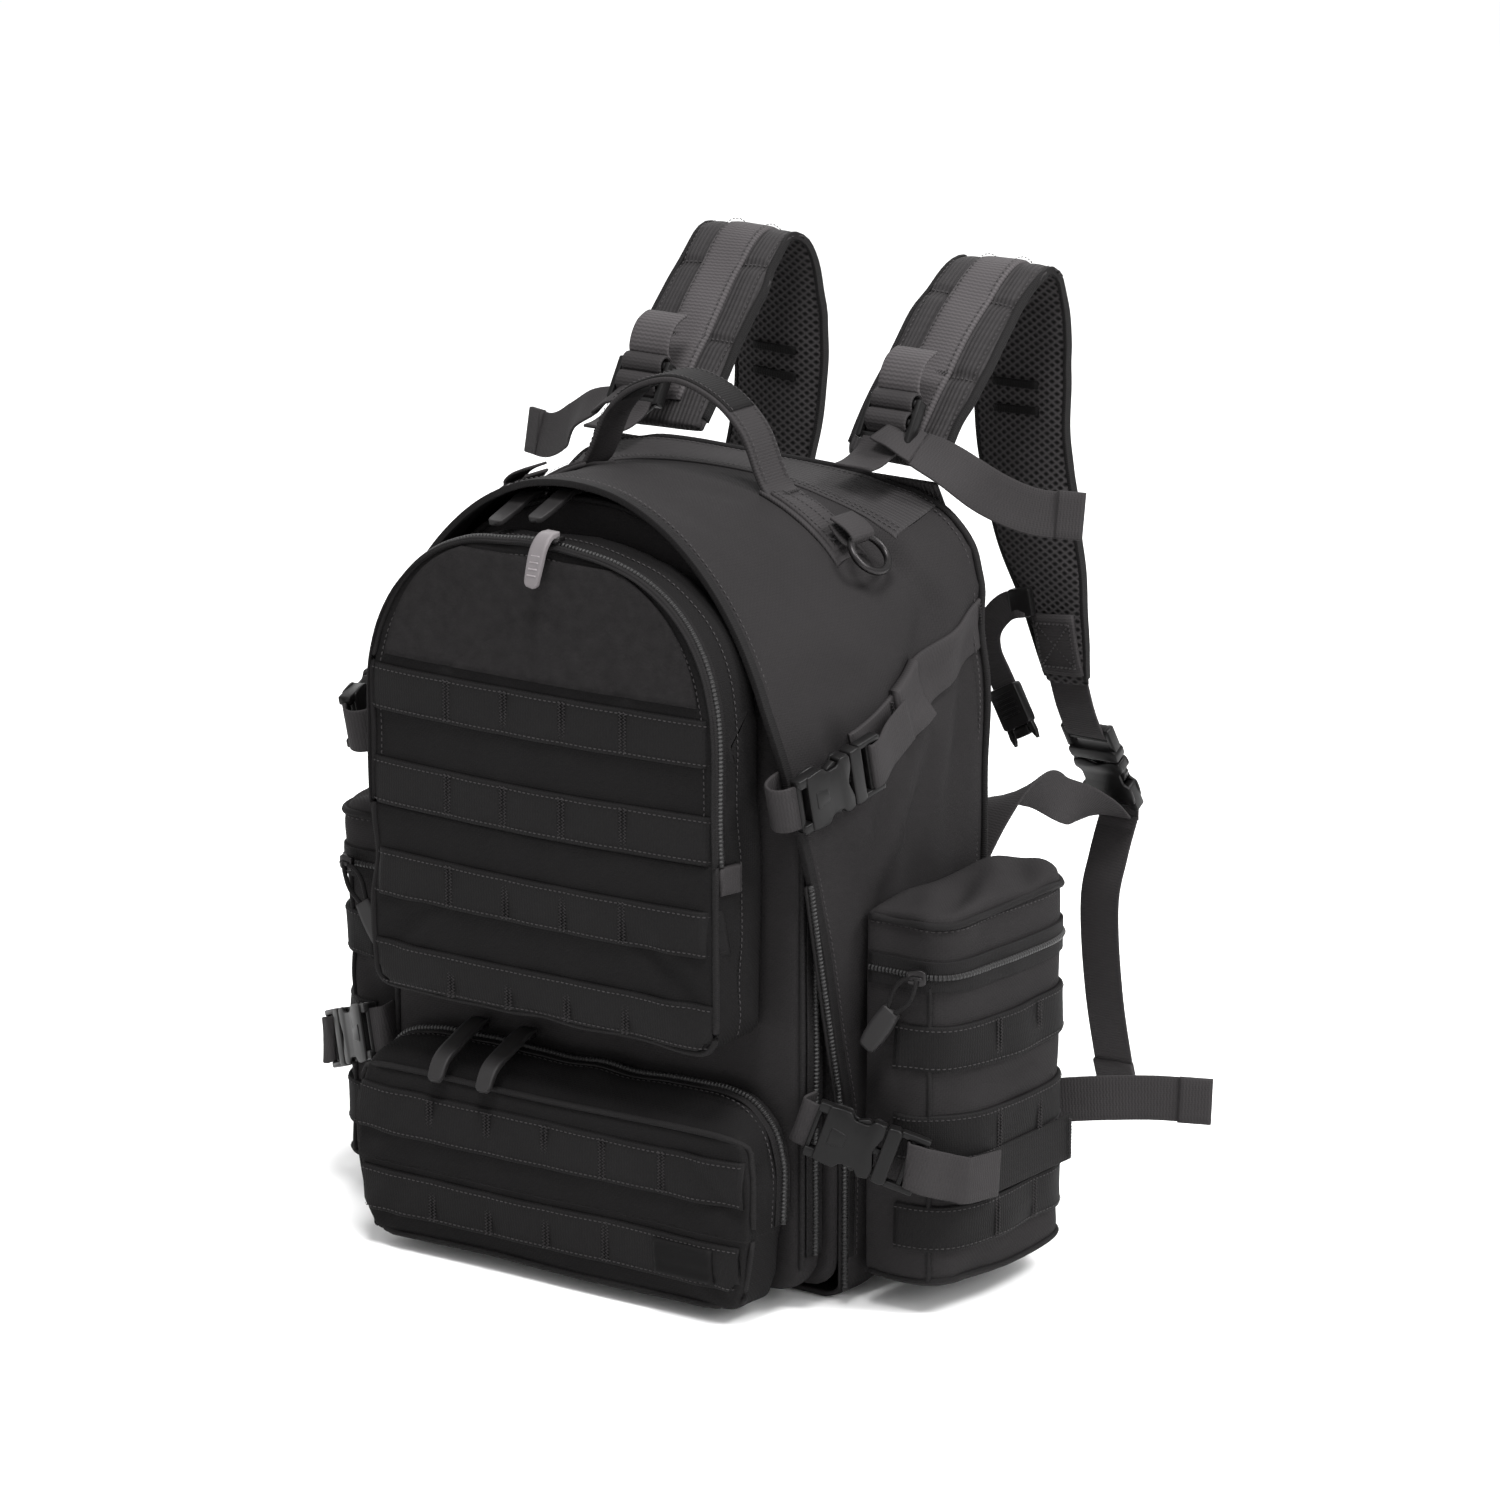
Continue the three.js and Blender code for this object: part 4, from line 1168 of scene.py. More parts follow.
def build_lower_pouch():
    stations = (-175, -173, -170, -165, -158, -150, -144, -138.5)
    verts, faces = rings_mesh([lower_outline(y, 3.0) for y in stations])

    def sewn(p):
        rear = (p[:, 1] > -141.5) * 1.0
        wide = np.clip((np.abs(p[:, 0]) - 118) / 8, 0, 1)
        high = np.clip((p[:, 2] - 98) / 6, 0, 1) * (p[:, 1] < -166)
        low = np.clip((14 - p[:, 2]) / 6, 0, 1)
        front = gauss(p[:, 1] + 172, 4.5) * np.maximum.reduce([wide, high, low])
        return np.maximum(rear, front * 0.9)

    verts, faces = inflate("lower_form", verts, faces, 4.6, 5.0, 4.5, sewn)

    def folds(p):
        face = np.clip((-p[:, 1] - 166) / 8, 0, 1)
        sag = gauss(p[:, 0] - 20, 70) * gauss(p[:, 2] - 112, 14) * -2.5
        even = np.abs(p[:, :1]) * (1, 0, 0) + p * (0, 1, 1)
        corner = crease(even, (126, -174, 60), (84, -176, 92), 5, 2.4)
        corner += crease(even, (128, -150, 96), (120, -172, 64), 5, 2.6)
        corner += crease(even, (118, -176, 12), (92, -177, 40), 4, 2.0)
        return (wrinkles(p, 0.017, (0.6, 1, 1.3), 41.0) * 3.2 * face + sag + corner
                + wrinkles(p, 0.035, (1, 1, 1), 51.0) * 2.6 * (1 - face) - 0.8)

    verts = crumple(verts, faces, folds)
    skin = Skin(verts, faces)
    seam, zip_z = LOWER["seam"], LOWER["zip"]
    split_pouch("lower_pouch", verts, faces, seam, zip_z, "lower_flap")

    # Piping round the front panel.
    ring = lower_outline(-172)
    ring = np.column_stack([ring[:, 0], np.full(len(ring), -173.0), np.clip(ring[:, 2], 9, 103)])
    run = np.roll(ring, -1, 0) - np.roll(ring, 1, 0)
    outs = unit(np.column_stack([run[:, 2], np.zeros(len(run)), -run[:, 0]]))
    outs *= np.sign((outs * (ring - np.array((0, -173, 60)))).sum(1))[:, None]
    tilted = unit(outs + np.array((0, -1.0, 0)))
    line = skin.trace(ring, tilted)
    high = line[:, 2] > zip_z + 1
    start = int(np.argmax(high & ~np.roll(high, 1)))
    line, tilted, high = (np.roll(a, -start, 0) for a in (line, tilted, high))
    count = int(high.sum())
    piping("lower_pouch_piping", line[:count], tilted[:count], "lower_flap", 1.8, proud=0.5)
    piping("lower_pouch_foot_piping", line[count:], tilted[count:], "front", 1.8, proud=0.5)

    # Zip along the sides and top, in front of the rear seam.
    half = LOWER["half"]
    route = [(half, 52), (half, 75)]
    route += [(half - 32 + 32 * math.cos(a), 91 + 32 * math.sin(a))
              for a in np.radians(np.linspace(0, 90, 8))]
    route = route + [(0, 123)] + [(-x, z) for x, z in reversed(route)]
    path = spline([(x, seam - 1.0, z) for x, z in route], 4)
    run = np.gradient(path, axis=0)
    outs = unit(np.column_stack([run[:, 2], np.zeros(len(run)), -run[:, 0]]))
    line = skin.trace(path, outs)
    zip_run("lower_pouch_zip", line, outs, (0, 1, 0), "lower_flap", 12)
    seam_row("lower_flap_stitches", "lower_flap", line + np.array((0, -8.5, 0)) - outs * 0.2, outs, 0.3)

    columns = (-76, -38, 0, 38, 76)
    molle_row("lower_flap_stitches", "lower_webbing_row_0", skin, "lower_flap", columns, 79.5, 25, 0,
              (-126, 126))
    molle_row("pouch_stitches", "lower_webbing_row_1", skin, "front", columns[:-1], 33.5, 25, 0,
              (-124, 124))

    # Blank raised patch at the lower right.
    xs, zs = np.linspace(72, 109, 20), np.linspace(24, 43, 11)
    grid = np.array([[(x, AHEAD, z) for x in xs] for z in zs])
    hits = skin.shoot(grid, (0, 1, 0))
    hits[..., 1] = hits[..., 1].min(axis=1, keepdims=True)
    height = np.full(hits.shape[:2], 3.5)
    height[1:-1, 1:-1] = 4.2
    height[2:-2, 2:-2] = 3.6
    v, f = raised(hits, height[..., None], 0.3)
    add("blank_patch", v, f, PATCH, "front", slot="grey_rubber")
    return skin


# ---------------------------------------------------------------- side pouches
def side_plan(z, inset=0.0):
    """Plan of the side pouch at height z: the inner wall is flat against the shell."""
    inner, outer, front, rear, corner = (SIDE[k] for k in ("inner", "outer", "front", "rear", "corner"))
    outer, front, rear = outer - inset, front + inset, rear - inset
    inner += inset * 0.4
    pts = [(inner, rear), (inner, (front + rear) / 2), (inner, front)]
    for a in np.radians(np.linspace(-90, 0, CORNER_STEPS)):
        pts.append((outer - corner + corner * math.cos(a), front + corner + corner * math.sin(a)))
    for y in np.linspace(front + corner, rear - corner, 8)[1:-1]:
        pts.append((outer, y))
    for a in np.radians(np.linspace(0, 90, CORNER_STEPS)):
        pts.append((outer - corner + corner * math.cos(a), rear - corner + corner * math.sin(a)))
    return np.column_stack([np.array(pts), np.full(len(pts), z)])


def build_side_pouches():
    base, top, zip_z = SIDE["base"], SIDE["top"], SIDE["zip"]
    rings = [side_plan(base + 3, 8), side_plan(base + 4, 5)]
    rings += [side_plan(z, 3.0) for z in np.linspace(base + 9, top - 10, 26)]
    rings += [side_plan(top - 6, 3.6), side_plan(top - 3.5, 6.5)]
    verts, faces = rings_mesh(rings)

    def sewn(p):
        inner = np.clip((153.5 - p[:, 0]) / 3, 0, 1)
        top_seam = gauss(p[:, 2] - (top - 8), 4.0) * (p[:, 0] > 158) * 0.9
        low_seam = gauss(p[:, 2] - (base + 7), 5.0) * 0.7
        return np.maximum.reduce([inner, top_seam, low_seam])

    verts, faces = inflate("side_form", verts, faces, 5.0, 5.0, 4.5, sewn)

    def folds(p):
        wall = np.clip((p[:, 0] - 156) / 10, 0, 1)
        crown = np.clip((p[:, 2] - 214) / 8, 0, 1)
        dents = crease(p, (196, -90, 218), (168, -30, 226), 6, 5.0)
        dents += crease(p, (200, -24, 220), (170, 10, 226), 6, 4.6)
        dents += crease(p, (206, -70, 120), (206, -30, 128), 5, 2.2)
        dents += crease(p, (206, -80, 24), (206, -10, 34), 6, 2.6)
        dents += crease(p, (190, -103, 150), (160, -104, 90), 6, 2.4)
        return (wrinkles(p, 0.024, (1, 1, 0.8), 61.0) * 3.4 * wall * (1 - crown) + dents
                + wrinkles(p, 0.03, (1, 1, 1), 71.0) * 4.2 * crown - 1.0)

    verts = crumple(verts, faces, folds)
    skin = Skin(verts, faces)
    hinge = SIDE["inner"] + 3.2
    cuts = [((0, 0, zip_z), (0, 0, 1)), ((hinge, 0, 0), (1, 0, 0))]
    v, f = carve(verts, faces, cuts, lambda c: c.z < zip_z)
    for side, sign in SIDES:
        fabric_piece(f"side_pouch_body_{side}", *sided((v, f), sign), CLOTH, "pack",
                     [f"side_pouch_{side}"],
                     "pack_fabric")
    v, f = carve(verts, faces, cuts, lambda c: c.z > zip_z and c.x > hinge)
    for side, sign in SIDES:
        fabric_piece(f"side_pouch_cover_{side}", *sided((v, f), sign), CLOTH, f"side_lid_{side}",
                     [f"side_pouch_lid_{side}"], "pack_fabric")

    def round_line(z):
        """The way round the pouch from shell to shell at height z, and its outward directions."""
        low_x = 154.0
        ring = side_plan(z)[2:]
        ring = ring[(ring[:, 0] > low_x)]
        ring = np.vstack([(low_x, SIDE["front"], z), ring, (low_x, SIDE["rear"], z)])
        path = spline(ring, 3.5)
        run = np.gradient(path, axis=0)
        outs = unit(np.column_stack([run[:, 1], -run[:, 0], np.zeros(len(run))]))
        outs *= np.sign((outs * (path - np.array((175, -40, z)))).sum(1))[:, None]
        return path, outs

    # Bound seam round the lid's top, the zip below it and the rows of webbing.
    path, outs = round_line(top - 8.5)
    line = skin.trace(path, unit(outs + np.array((0, 0, 0.8))))
    two("side_lid_piping", tube(line + unit(outs + np.array((0, 0, 0.8))) * 1.0, 1.9), TAPE, "side_lid")
    two_rows("side_lid_stitches", "side_lid",
             stitches(skin.trace(path - np.array((0, 0, 6)), outs), outs))
    path, outs = round_line(zip_z - 1.0)
    line = skin.trace(path, outs)
    for place, body, z in (("upper", "side_lid", 4.6), ("lower", "pack", -4.6)):
        edge = skin.trace(path + np.array((0, 0, z)), outs)
        two(f"side_zip_{place}_tape", strip(edge + outs * 0.9, (0, 0, 1), 7.5, 1.6), TAPE, body)
    two("side_zip_coil", tube(line + outs * 1.3, 1.8), COIL, "pack", slot="moulded_plastic")
    for k, z in enumerate((146.5, 97.5, 48.5)):
        path, outs = round_line(z)
        keep = (path[:, 0] > 171) & ~((path[:, 1] > 10) & (path[:, 0] < 192))
        path, outs = path[keep], outs[keep]
        stops = np.array([path[0][1] - 1, -60, -22, path[-1][1] + 1])
        i = np.clip(np.searchsorted(stops, path[:, 1], "right") - 1, 0, 2)
        part = np.clip((path[:, 1] - stops[i]) / (stops[i + 1] - stops[i]), 0, 1)
        lift = 0.5 + 0.8 * np.sin(np.pi * part)
        two(f"side_webbing_row_{k}", laid(skin, path, (0, 0, 1), 25, -outs, lift), WEB_DARK, "pack")
        for stop in stops[1:-1]:
            spot = skin.shoot([(260, stop, z)], (-1, 0, 0))[0]
            for gap in (-1.3, 1.3):
                two_rows("shell_stitches", "pack",
                         bar_tack(skin, spot + np.array((0, gap, 0)), (0, 0, 1), 22, (-1, 0, 0), 1.6,
                                  2.4))
        for edge in (-1, 1):
            start = path + np.array((0, 0, edge * 10.3))
            line = skin.trace(start, outs) + outs * (lift[:, None] + 1.55)
            two_rows("shell_stitches", "pack", stitches(line, outs, 3.0, 0.35))
    # Vertical seam at the front corner.
    line = skin.trace([(190, -98, z) for z in np.linspace(20, 180, 50)], (0.75, -0.66, 0))
    two("side_corner_piping", tube(line + np.array((0.75, -0.66, 0)) * 0.5, 1.4), TAPE, "pack")
    path, outs = round_line(base + 6.0)
    line = skin.trace(path, unit(outs + np.array((0, 0, -0.6))))
    two("side_foot_piping", tube(line + outs * 0.5, 1.6), TAPE, "pack")


# ---------------------------------------------------------------- buckles and other hardware
def turned(anchor, way, outward):
    """Places local X along way and local Z towards outward."""
    x = unit(way)
    z = unit(np.asarray(outward, float) - x * np.dot(outward, x))
    y = np.cross(z, x)
    basis = np.stack([x, y, z], 1)
    return lambda verts: np.asarray(verts, float) @ basis.T + np.asarray(anchor, float)


def rounded(points, radius):
    """A polygon with its corners rounded."""
    p = np.asarray(points, float)
    out = []
    for a, b, c in zip(np.roll(p, 1, 0), p, np.roll(p, -1, 0)):
        r = min(radius, np.linalg.norm(a - b) / 2.2, np.linalg.norm(c - b) / 2.2)
        s, e = b + unit(a - b) * r, b + unit(c - b) * r
        for t in np.linspace(0, 1, 4):
            out.append((1 - t) ** 2 * s + 2 * t * (1 - t) * b + t * t * e)
    return np.array(out)


def plate(points, low, high, radius=1.6, bevel=0.6):
    """An upright moulded plate with eased edges, in local coordinates."""
    edge = rounded(points, radius)
    run = np.roll(edge, -1, 0) - np.roll(edge, 1, 0)
    out = unit(np.column_stack([run[:, 1], -run[:, 0]]))
    area = 0.5 * np.sum(edge[:, 0] * np.roll(edge[:, 1], -1) - edge[:, 1] * np.roll(edge[:, 0], -1))
    out *= 1 if area > 0 else -1
    rings = []
    for inset, z in ((bevel, low), (bevel * 0.3, low + bevel * 0.3), (0, low + bevel),
                     (0, high - bevel),
                     (bevel * 0.3, high - bevel * 0.3), (bevel, high)):
        xy = edge - out * inset
        rings.append(np.column_stack([xy, np.full(len(xy), z)]))
    return rings_mesh(rings)


def rect(x0, x1, y0, y1):
    return [(x0, y0), (x1, y0), (x1, y1), (x0, y1)]


def female_parts():
    """The socket: two shells, side rails with open windows, a webbing bar and a rounded mouth."""
    parts = []
    for low, high in ((2.6, 4.5), (-4.5, -2.6)):
        shape = [(-1.5, -15.2), (5, -16), (10.5, -16), (13, -12.4), (21, -12.4), (23.5, -16),
                 (29.6, -15.2),
                 (30.2, -9), (27, 0), (30.2, 9), (29.6, 15.2), (23.5, 16), (21, 12.4), (13, 12.4),
                 (10.5, 16),
                 (5, 16), (-1.5, 15.2)]
        parts.append(plate(shape, low, high, 1.8, 0.7))
    for s in (-1, 1):
        parts.append(plate(rect(-7, 11.2, s * 12.8 - 2.6, s * 12.8 + 2.6), -3.6, 3.6, 1.4, 0.7))
        parts.append(plate(rect(22.8, 29.8, s * 13.6 - 1.9, s * 13.6 + 1.9), -3.4, 3.4, 1.2, 0.6))
    parts.append(plate(rect(-7, -4.2, -15.2, 15.2), -2.2, 2.2, 1.2, 0.9))
    parts.append(plate(rect(-0.8, 3.2, -13, 13), -3.4, 3.4, 1.0, 0.7))
    parts.append(plate([(3, -5), (12, -3.4), (12, 3.4), (3, 5)], 4.1, 4.9, 1.5, 0.35))
    return parts


def male_parts():
    """The plug: shoulders, two barbed prongs, a guide tongue and a ladder for the webbing."""
    parts = [plate([(30.8, -15.4), (36.5, -16), (39, -14.5), (39, 14.5), (36.5, 16), (30.8, 15.4)],
                   -4.4, 4.4, 1.6,
                   0.9)]
    for s in (-1, 1):
        arm = [(31.5, s * 9.6), (20, s * 8.6), (14.6, s * 10.2), (14.4, s * 12.6), (20.4, s * 15.1),
               (22.4, s * 13.0), (31.5, s * 13.4)]
        parts.append(plate(arm, -2.2, 2.2, 1.0, 0.5))
        parts.append(plate(rect(38, 54, s * 14.3 - 1.7, s * 14.3 + 1.7), -3.0, 3.0, 1.2, 0.7))
    parts.append(plate(rect(16, 31.5, -1.9, 1.9), -2.0, 2.0, 1.2, 0.5))
    for x0, x1, h in ((44.2, 47.2, 2.3), (51.2, 54, 2.6)):
        parts.append(plate(rect(x0, x1, -14, 14), -h, h, 0.9, 0.7))
    for k in range(3):
        parts.append(plate(rect(44.6 + k * 0.9, 45.0 + k * 0.9, -12, 12), 2.1, 2.6, 0.15, 0.1))
    return parts


def hardware(name, parts, place, body, replaces=(), material=PLASTIC, slot="moulded_plastic",
             crisp=True):
    """A mirrored pair of moulded or metal parts."""
    v, f, _ = weld(parts)
    for made in pair(name, place(v), f, material, body, replaces, slot=slot):
        if crisp:
            made.data.set_sharp_from_angle(angle=SHARP)


def compression_buckle(where, place):
    for kind, parts, body, node in (("socket", female_parts(), "front", "female"),
                                    ("plug", male_parts(), f"clip_{where}", "male")):
        hardware(f"{where}_buckle_{kind}", parts, place, body, [f"buckle_{node}_{where}"], crisp=False)


def two(name, data, material, body, replaces=(), slot="webbing"):
    """A mirrored pair from (verts, faces, lay)."""
    return pair(name, data[0], data[1], material, body, replaces, lay=data[2], slot=slot)


def crossing(name, data, material, start, end):
    """A mirrored pair of webbing that runs on the pack up to start and on a moving body from end on. It
    is baked in place on no body; the points made from start and end are not used.
    """
    for side, sign in SIDES:
        made = put(f"{name}_{side}", (*sided(data, sign), data[2]), material, None)
        ends = [tuple(np.asarray(p, float) * (sign, 1, 1) * MM) for p in (start, end)]
        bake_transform(made)


def two_rows(group, body, part):
    """Stitching for a mirrored pair."""
    for side, sign in SIDES:
        named = group if body in ONE_BODY else f"{group}_{side}"
        sew(named, on_side(body, side), (*sided(part, sign), part[2]))


def build_compression(shell):
    slope = math.radians(14)
    way = np.array((0.16, math.cos(slope), math.sin(slope)))
    climb = np.array((0, math.cos(math.radians(23)), math.sin(math.radians(23))))
    anchor = np.array((147.8, -148.6, 284))
    place = turned(anchor, way, (1, 0, 0))
    compression_buckle("upper", place)
    # The socket's webbing wraps the flap's edge from the front compartment.
    loop = place([(8, 0, -20), (-4, 0, -19.5), (-12, 0, -16), (-15.5, 0, -9), (-13, 0, -3.2),
                  (-7.5, 0, -0.6),
                  (-4.5, 0, 1.4)])
    two("upper_socket_webbing", strip(spline(loop, 2), place([(0, 1, 0)])[0] - anchor, 24.5, 1.8),
        WEB, "front")

    # Webbing over the shell, its keeper fold and the end that comes back through the plug.
    lay_way = unit(way * (0, 1, 1))
    across = np.cross((1, 0, 0), lay_way)
    turn = anchor + way * 60
    spots = [anchor + way * 52] + [turn + climb * s for s in (4, 30, 60, 90, 112, 124)]
    spots = np.array(spots) * (0, 1, 1) + np.array((153, 0, 0))
    path = spline(spots, 3)
    data = laid(shell, path, across, 25, (-1, 0, 0), 0.4, 1.7)
    two("upper_compression_webbing", data, WEB, "pack", ["upper_compression_web"])
    rise = place([(52.5, 0, -2.4), (49.2, 0, -0.2), (45.5, 0, 3.2), (49.5, 0, 3.8), (56, 0, 1.4)])
    run = np.vstack([rise, [turn + climb * 9 + np.array((-3.4, 0, 0))],
                     [turn + climb * 30 + np.array((-5.0, 0, 0))]])
    crossing("upper_webbing_return", strip(spline(run, 2), across, 25, 1.6), WEB,
             turn + climb * 29,
             place([(55, 0, 0)])[0])
    spots = np.array([turn + climb * s for s in (30, 38, 48, 58)]) * (0, 1, 1) + np.array((153, 0, 0))
    keeper = laid(shell, spline(spots, 2), across, 31, (-1, 0, 0), 3.0, 3.0)
    two("upper_webbing_keeper", keeper, WEB, "pack")
    for s in (27, 118):
        spot = np.array(turn + climb * s) * (0, 1, 1) + np.array((153, 0, 0))
        spot = shell.shoot([spot + np.array((60, 0, 0))], (-1, 0, 0))[0]
        two_rows("shell_stitches", "pack",
                 bar_tack(None, spot + np.array((2.6, 0, 0)), across, 22, (-1, 0, 0), 2.4))

    anchor = np.array((150.5, -136.5, 105))
    way = np.array((0.823, 0.454, -0.34))
    place = turned(anchor, way, (0.48, -0.877, 0))
    compression_buckle("lower", place)
    loop = place([(-16, 0, -8), (-15, 0, -5), (-11.5, 0, -1.6), (-7.5, 0, -0.6), (-4.5, 0, 1.4)])
    loop[0] = (136.5, -127, 111)
    two("lower_socket_webbing", strip(spline(loop, 2), place([(0, 1, 0)])[0] - anchor, 24.5, 1.8),
        WEB, "front")

    def round_corner(radius, angles, z0, drop):
        return [(188 + radius * math.cos(math.radians(a)), -86 + radius * math.sin(math.radians(a)),
                 z0 - a * drop)
                for a in angles]

    straight = [(208.8, y, 75) for y in (8, -14, -36, -58, -74)]
    corner = round_corner(20.5, (-12, -28, -44, -60), 74.6, 0.12)
    last = np.array(corner[-1]) + unit(-way) * 16
    path = spline(np.array(straight + corner + [tuple(last)]), 3)
    across = np.array((0, 0, 1.0))
    two("lower_compression_webbing", strip(path, across, 25, 1.7), WEB_DARK, "pack",
        ["lower_compression_web"])
    fold = place([(52.5, 0, -2.4), (49.0, 0, -0.2), (45.5, 0, 3.2), (49.5, 0, 4.6), (57, 0, 4.0)])
    around = [tuple(p) for p in fold] + round_corner(24.8, (-46, -30, -14), 76,
                                                     0.12) + [(212.6, -66, 75)]
    crossing("lower_webbing_return", strip(spline(around, 2), across, 25, 1.6), WEB,
             (212, -70, 75), place([(57, 0, 0)])[0])
    tack = bar_tack(None, np.array((210.9, 5.0, 75)), (0, 0, 1), 22, (-1, 0, 0), 2.4)
    two_rows("shell_stitches", "pack", tack)


def build_handle(shell):
    y = -50.0
    foot = 60
    feet = shell.shoot([(x, y, 520) for x in (-foot - 9, -foot, foot, foot + 9)], (0, 0, -1))[:, 2]
    arch = [(-foot - 9, y, feet[0] + 1.8), (-foot, y, feet[1] + 3.4), (-54, y, feet[1] + 13),
            (-44, y, 448),
            (-26, y, 463.5), (0, y, 471), (26, y, 463.5), (44, y, 448), (54, y, feet[2] + 13),
            (foot, y, feet[2] + 3.4), (foot + 9, y, feet[3] + 1.8)]
    path = spline(arch, 3)
    data = strip(path, (0, 1, 0), 25, 3.0, 0.0)
    put("handle_webbing", data, WEB, "handle", ["carry_handle"])
    # A folded grip sewn over the middle.
    middle = path[np.abs(path[:, 0]) < 36] + np.array((0, 0, 0.4))
    put("handle_grip", strip(middle, (0, 1, 0), 22, 4.4), WEB_DARK, "handle")
    line = path[np.abs(path[:, 0]) < 58]
    normal = unit(np.cross((0, 1, 0), np.gradient(line, axis=0)))
    normal *= np.sign(normal[:, 2:])
    for edge in (-9.4, 9.4):
        seam_row("handle_stitches", "handle", line + np.array((0, edge, 0)) + normal * 1.8, normal,
                 0.8, pitch=3.2)
    middles = np.array([(x, y, ABOVE) for x in np.linspace(57, 107, 27)])
    data = laid(shell, middles, (0, 1, 0), 27, (0, 0, -1), 0.8, 1.6)
    two("handle_anchor", data, WEB, "pack", ["handle_anchor_web"])
    data = laid(shell, middles[3:-2], (0, 1, 0), 22, (0, 0, -1), 2.4, 1.7)
    two("handle_anchor_fold", data, WEB, "pack")
    for edge in (-9, 0, 9):
        line = shell.shoot(middles[3:-2] + np.array((0, edge, 30)), (0, 0, -1)) + np.array((0, 0, 4.4))
        two_rows("shell_stitches", "pack", stitches(line, (0, 0, 1), 3.0, 0.45))
    for x in (66, 101):
        spot = shell.shoot([(x, y, 500)], (0, 0, -1))[0] + np.array((0, 0, 4.6))
        two_rows("shell_stitches", "pack", bar_tack(None, spot, (0, 1, 0), 19, (0, 0, -1), 1.8))
    # Webbing loop round the ring.
    slope = (skin_height(122, y) - skin_height(112, y)) / 10
    tilt = math.atan(slope)
    centre = np.array((118, y, skin_height(118, y) + 10))
    down = np.array((math.cos(tilt), 0, math.sin(tilt)))
    out = np.array((-math.sin(tilt), 0, math.cos(tilt)))
    bar = centre - down * 11.5
    loop = [bar - down * 12 + out * -4.5, bar - down * 4 + out * -4.4, bar + down * 2.6 + out * -2.8,
            bar + down * 3.4 + out * 0, bar + down * 1.6 + out * 3.0, bar - down * 5 + out * 2.4,
            bar - down * 14 + out * -1.4]
    two("ring_loop", strip(spline(loop, 1.5), (0, 1, 0), 20, 1.5), WEB, "pack")
    angles = np.linspace(0, 2 * math.pi, 48, endpoint=False)
    ring = np.array([centre + down * math.cos(a) * 11.5 + np.array((0, 1, 0)) * math.sin(a) * 12.6
                     for a in angles])
    two("ring", tube(ring, 2.1, 12, True, tuple(out)), STEEL, "ring", ["d_ring"], "dark_metal")


SLIDER = ((-5, -3.4), (2, -4.6), (5, -3.2), (5, 3.2), (2, 4.6), (-5, 3.4))


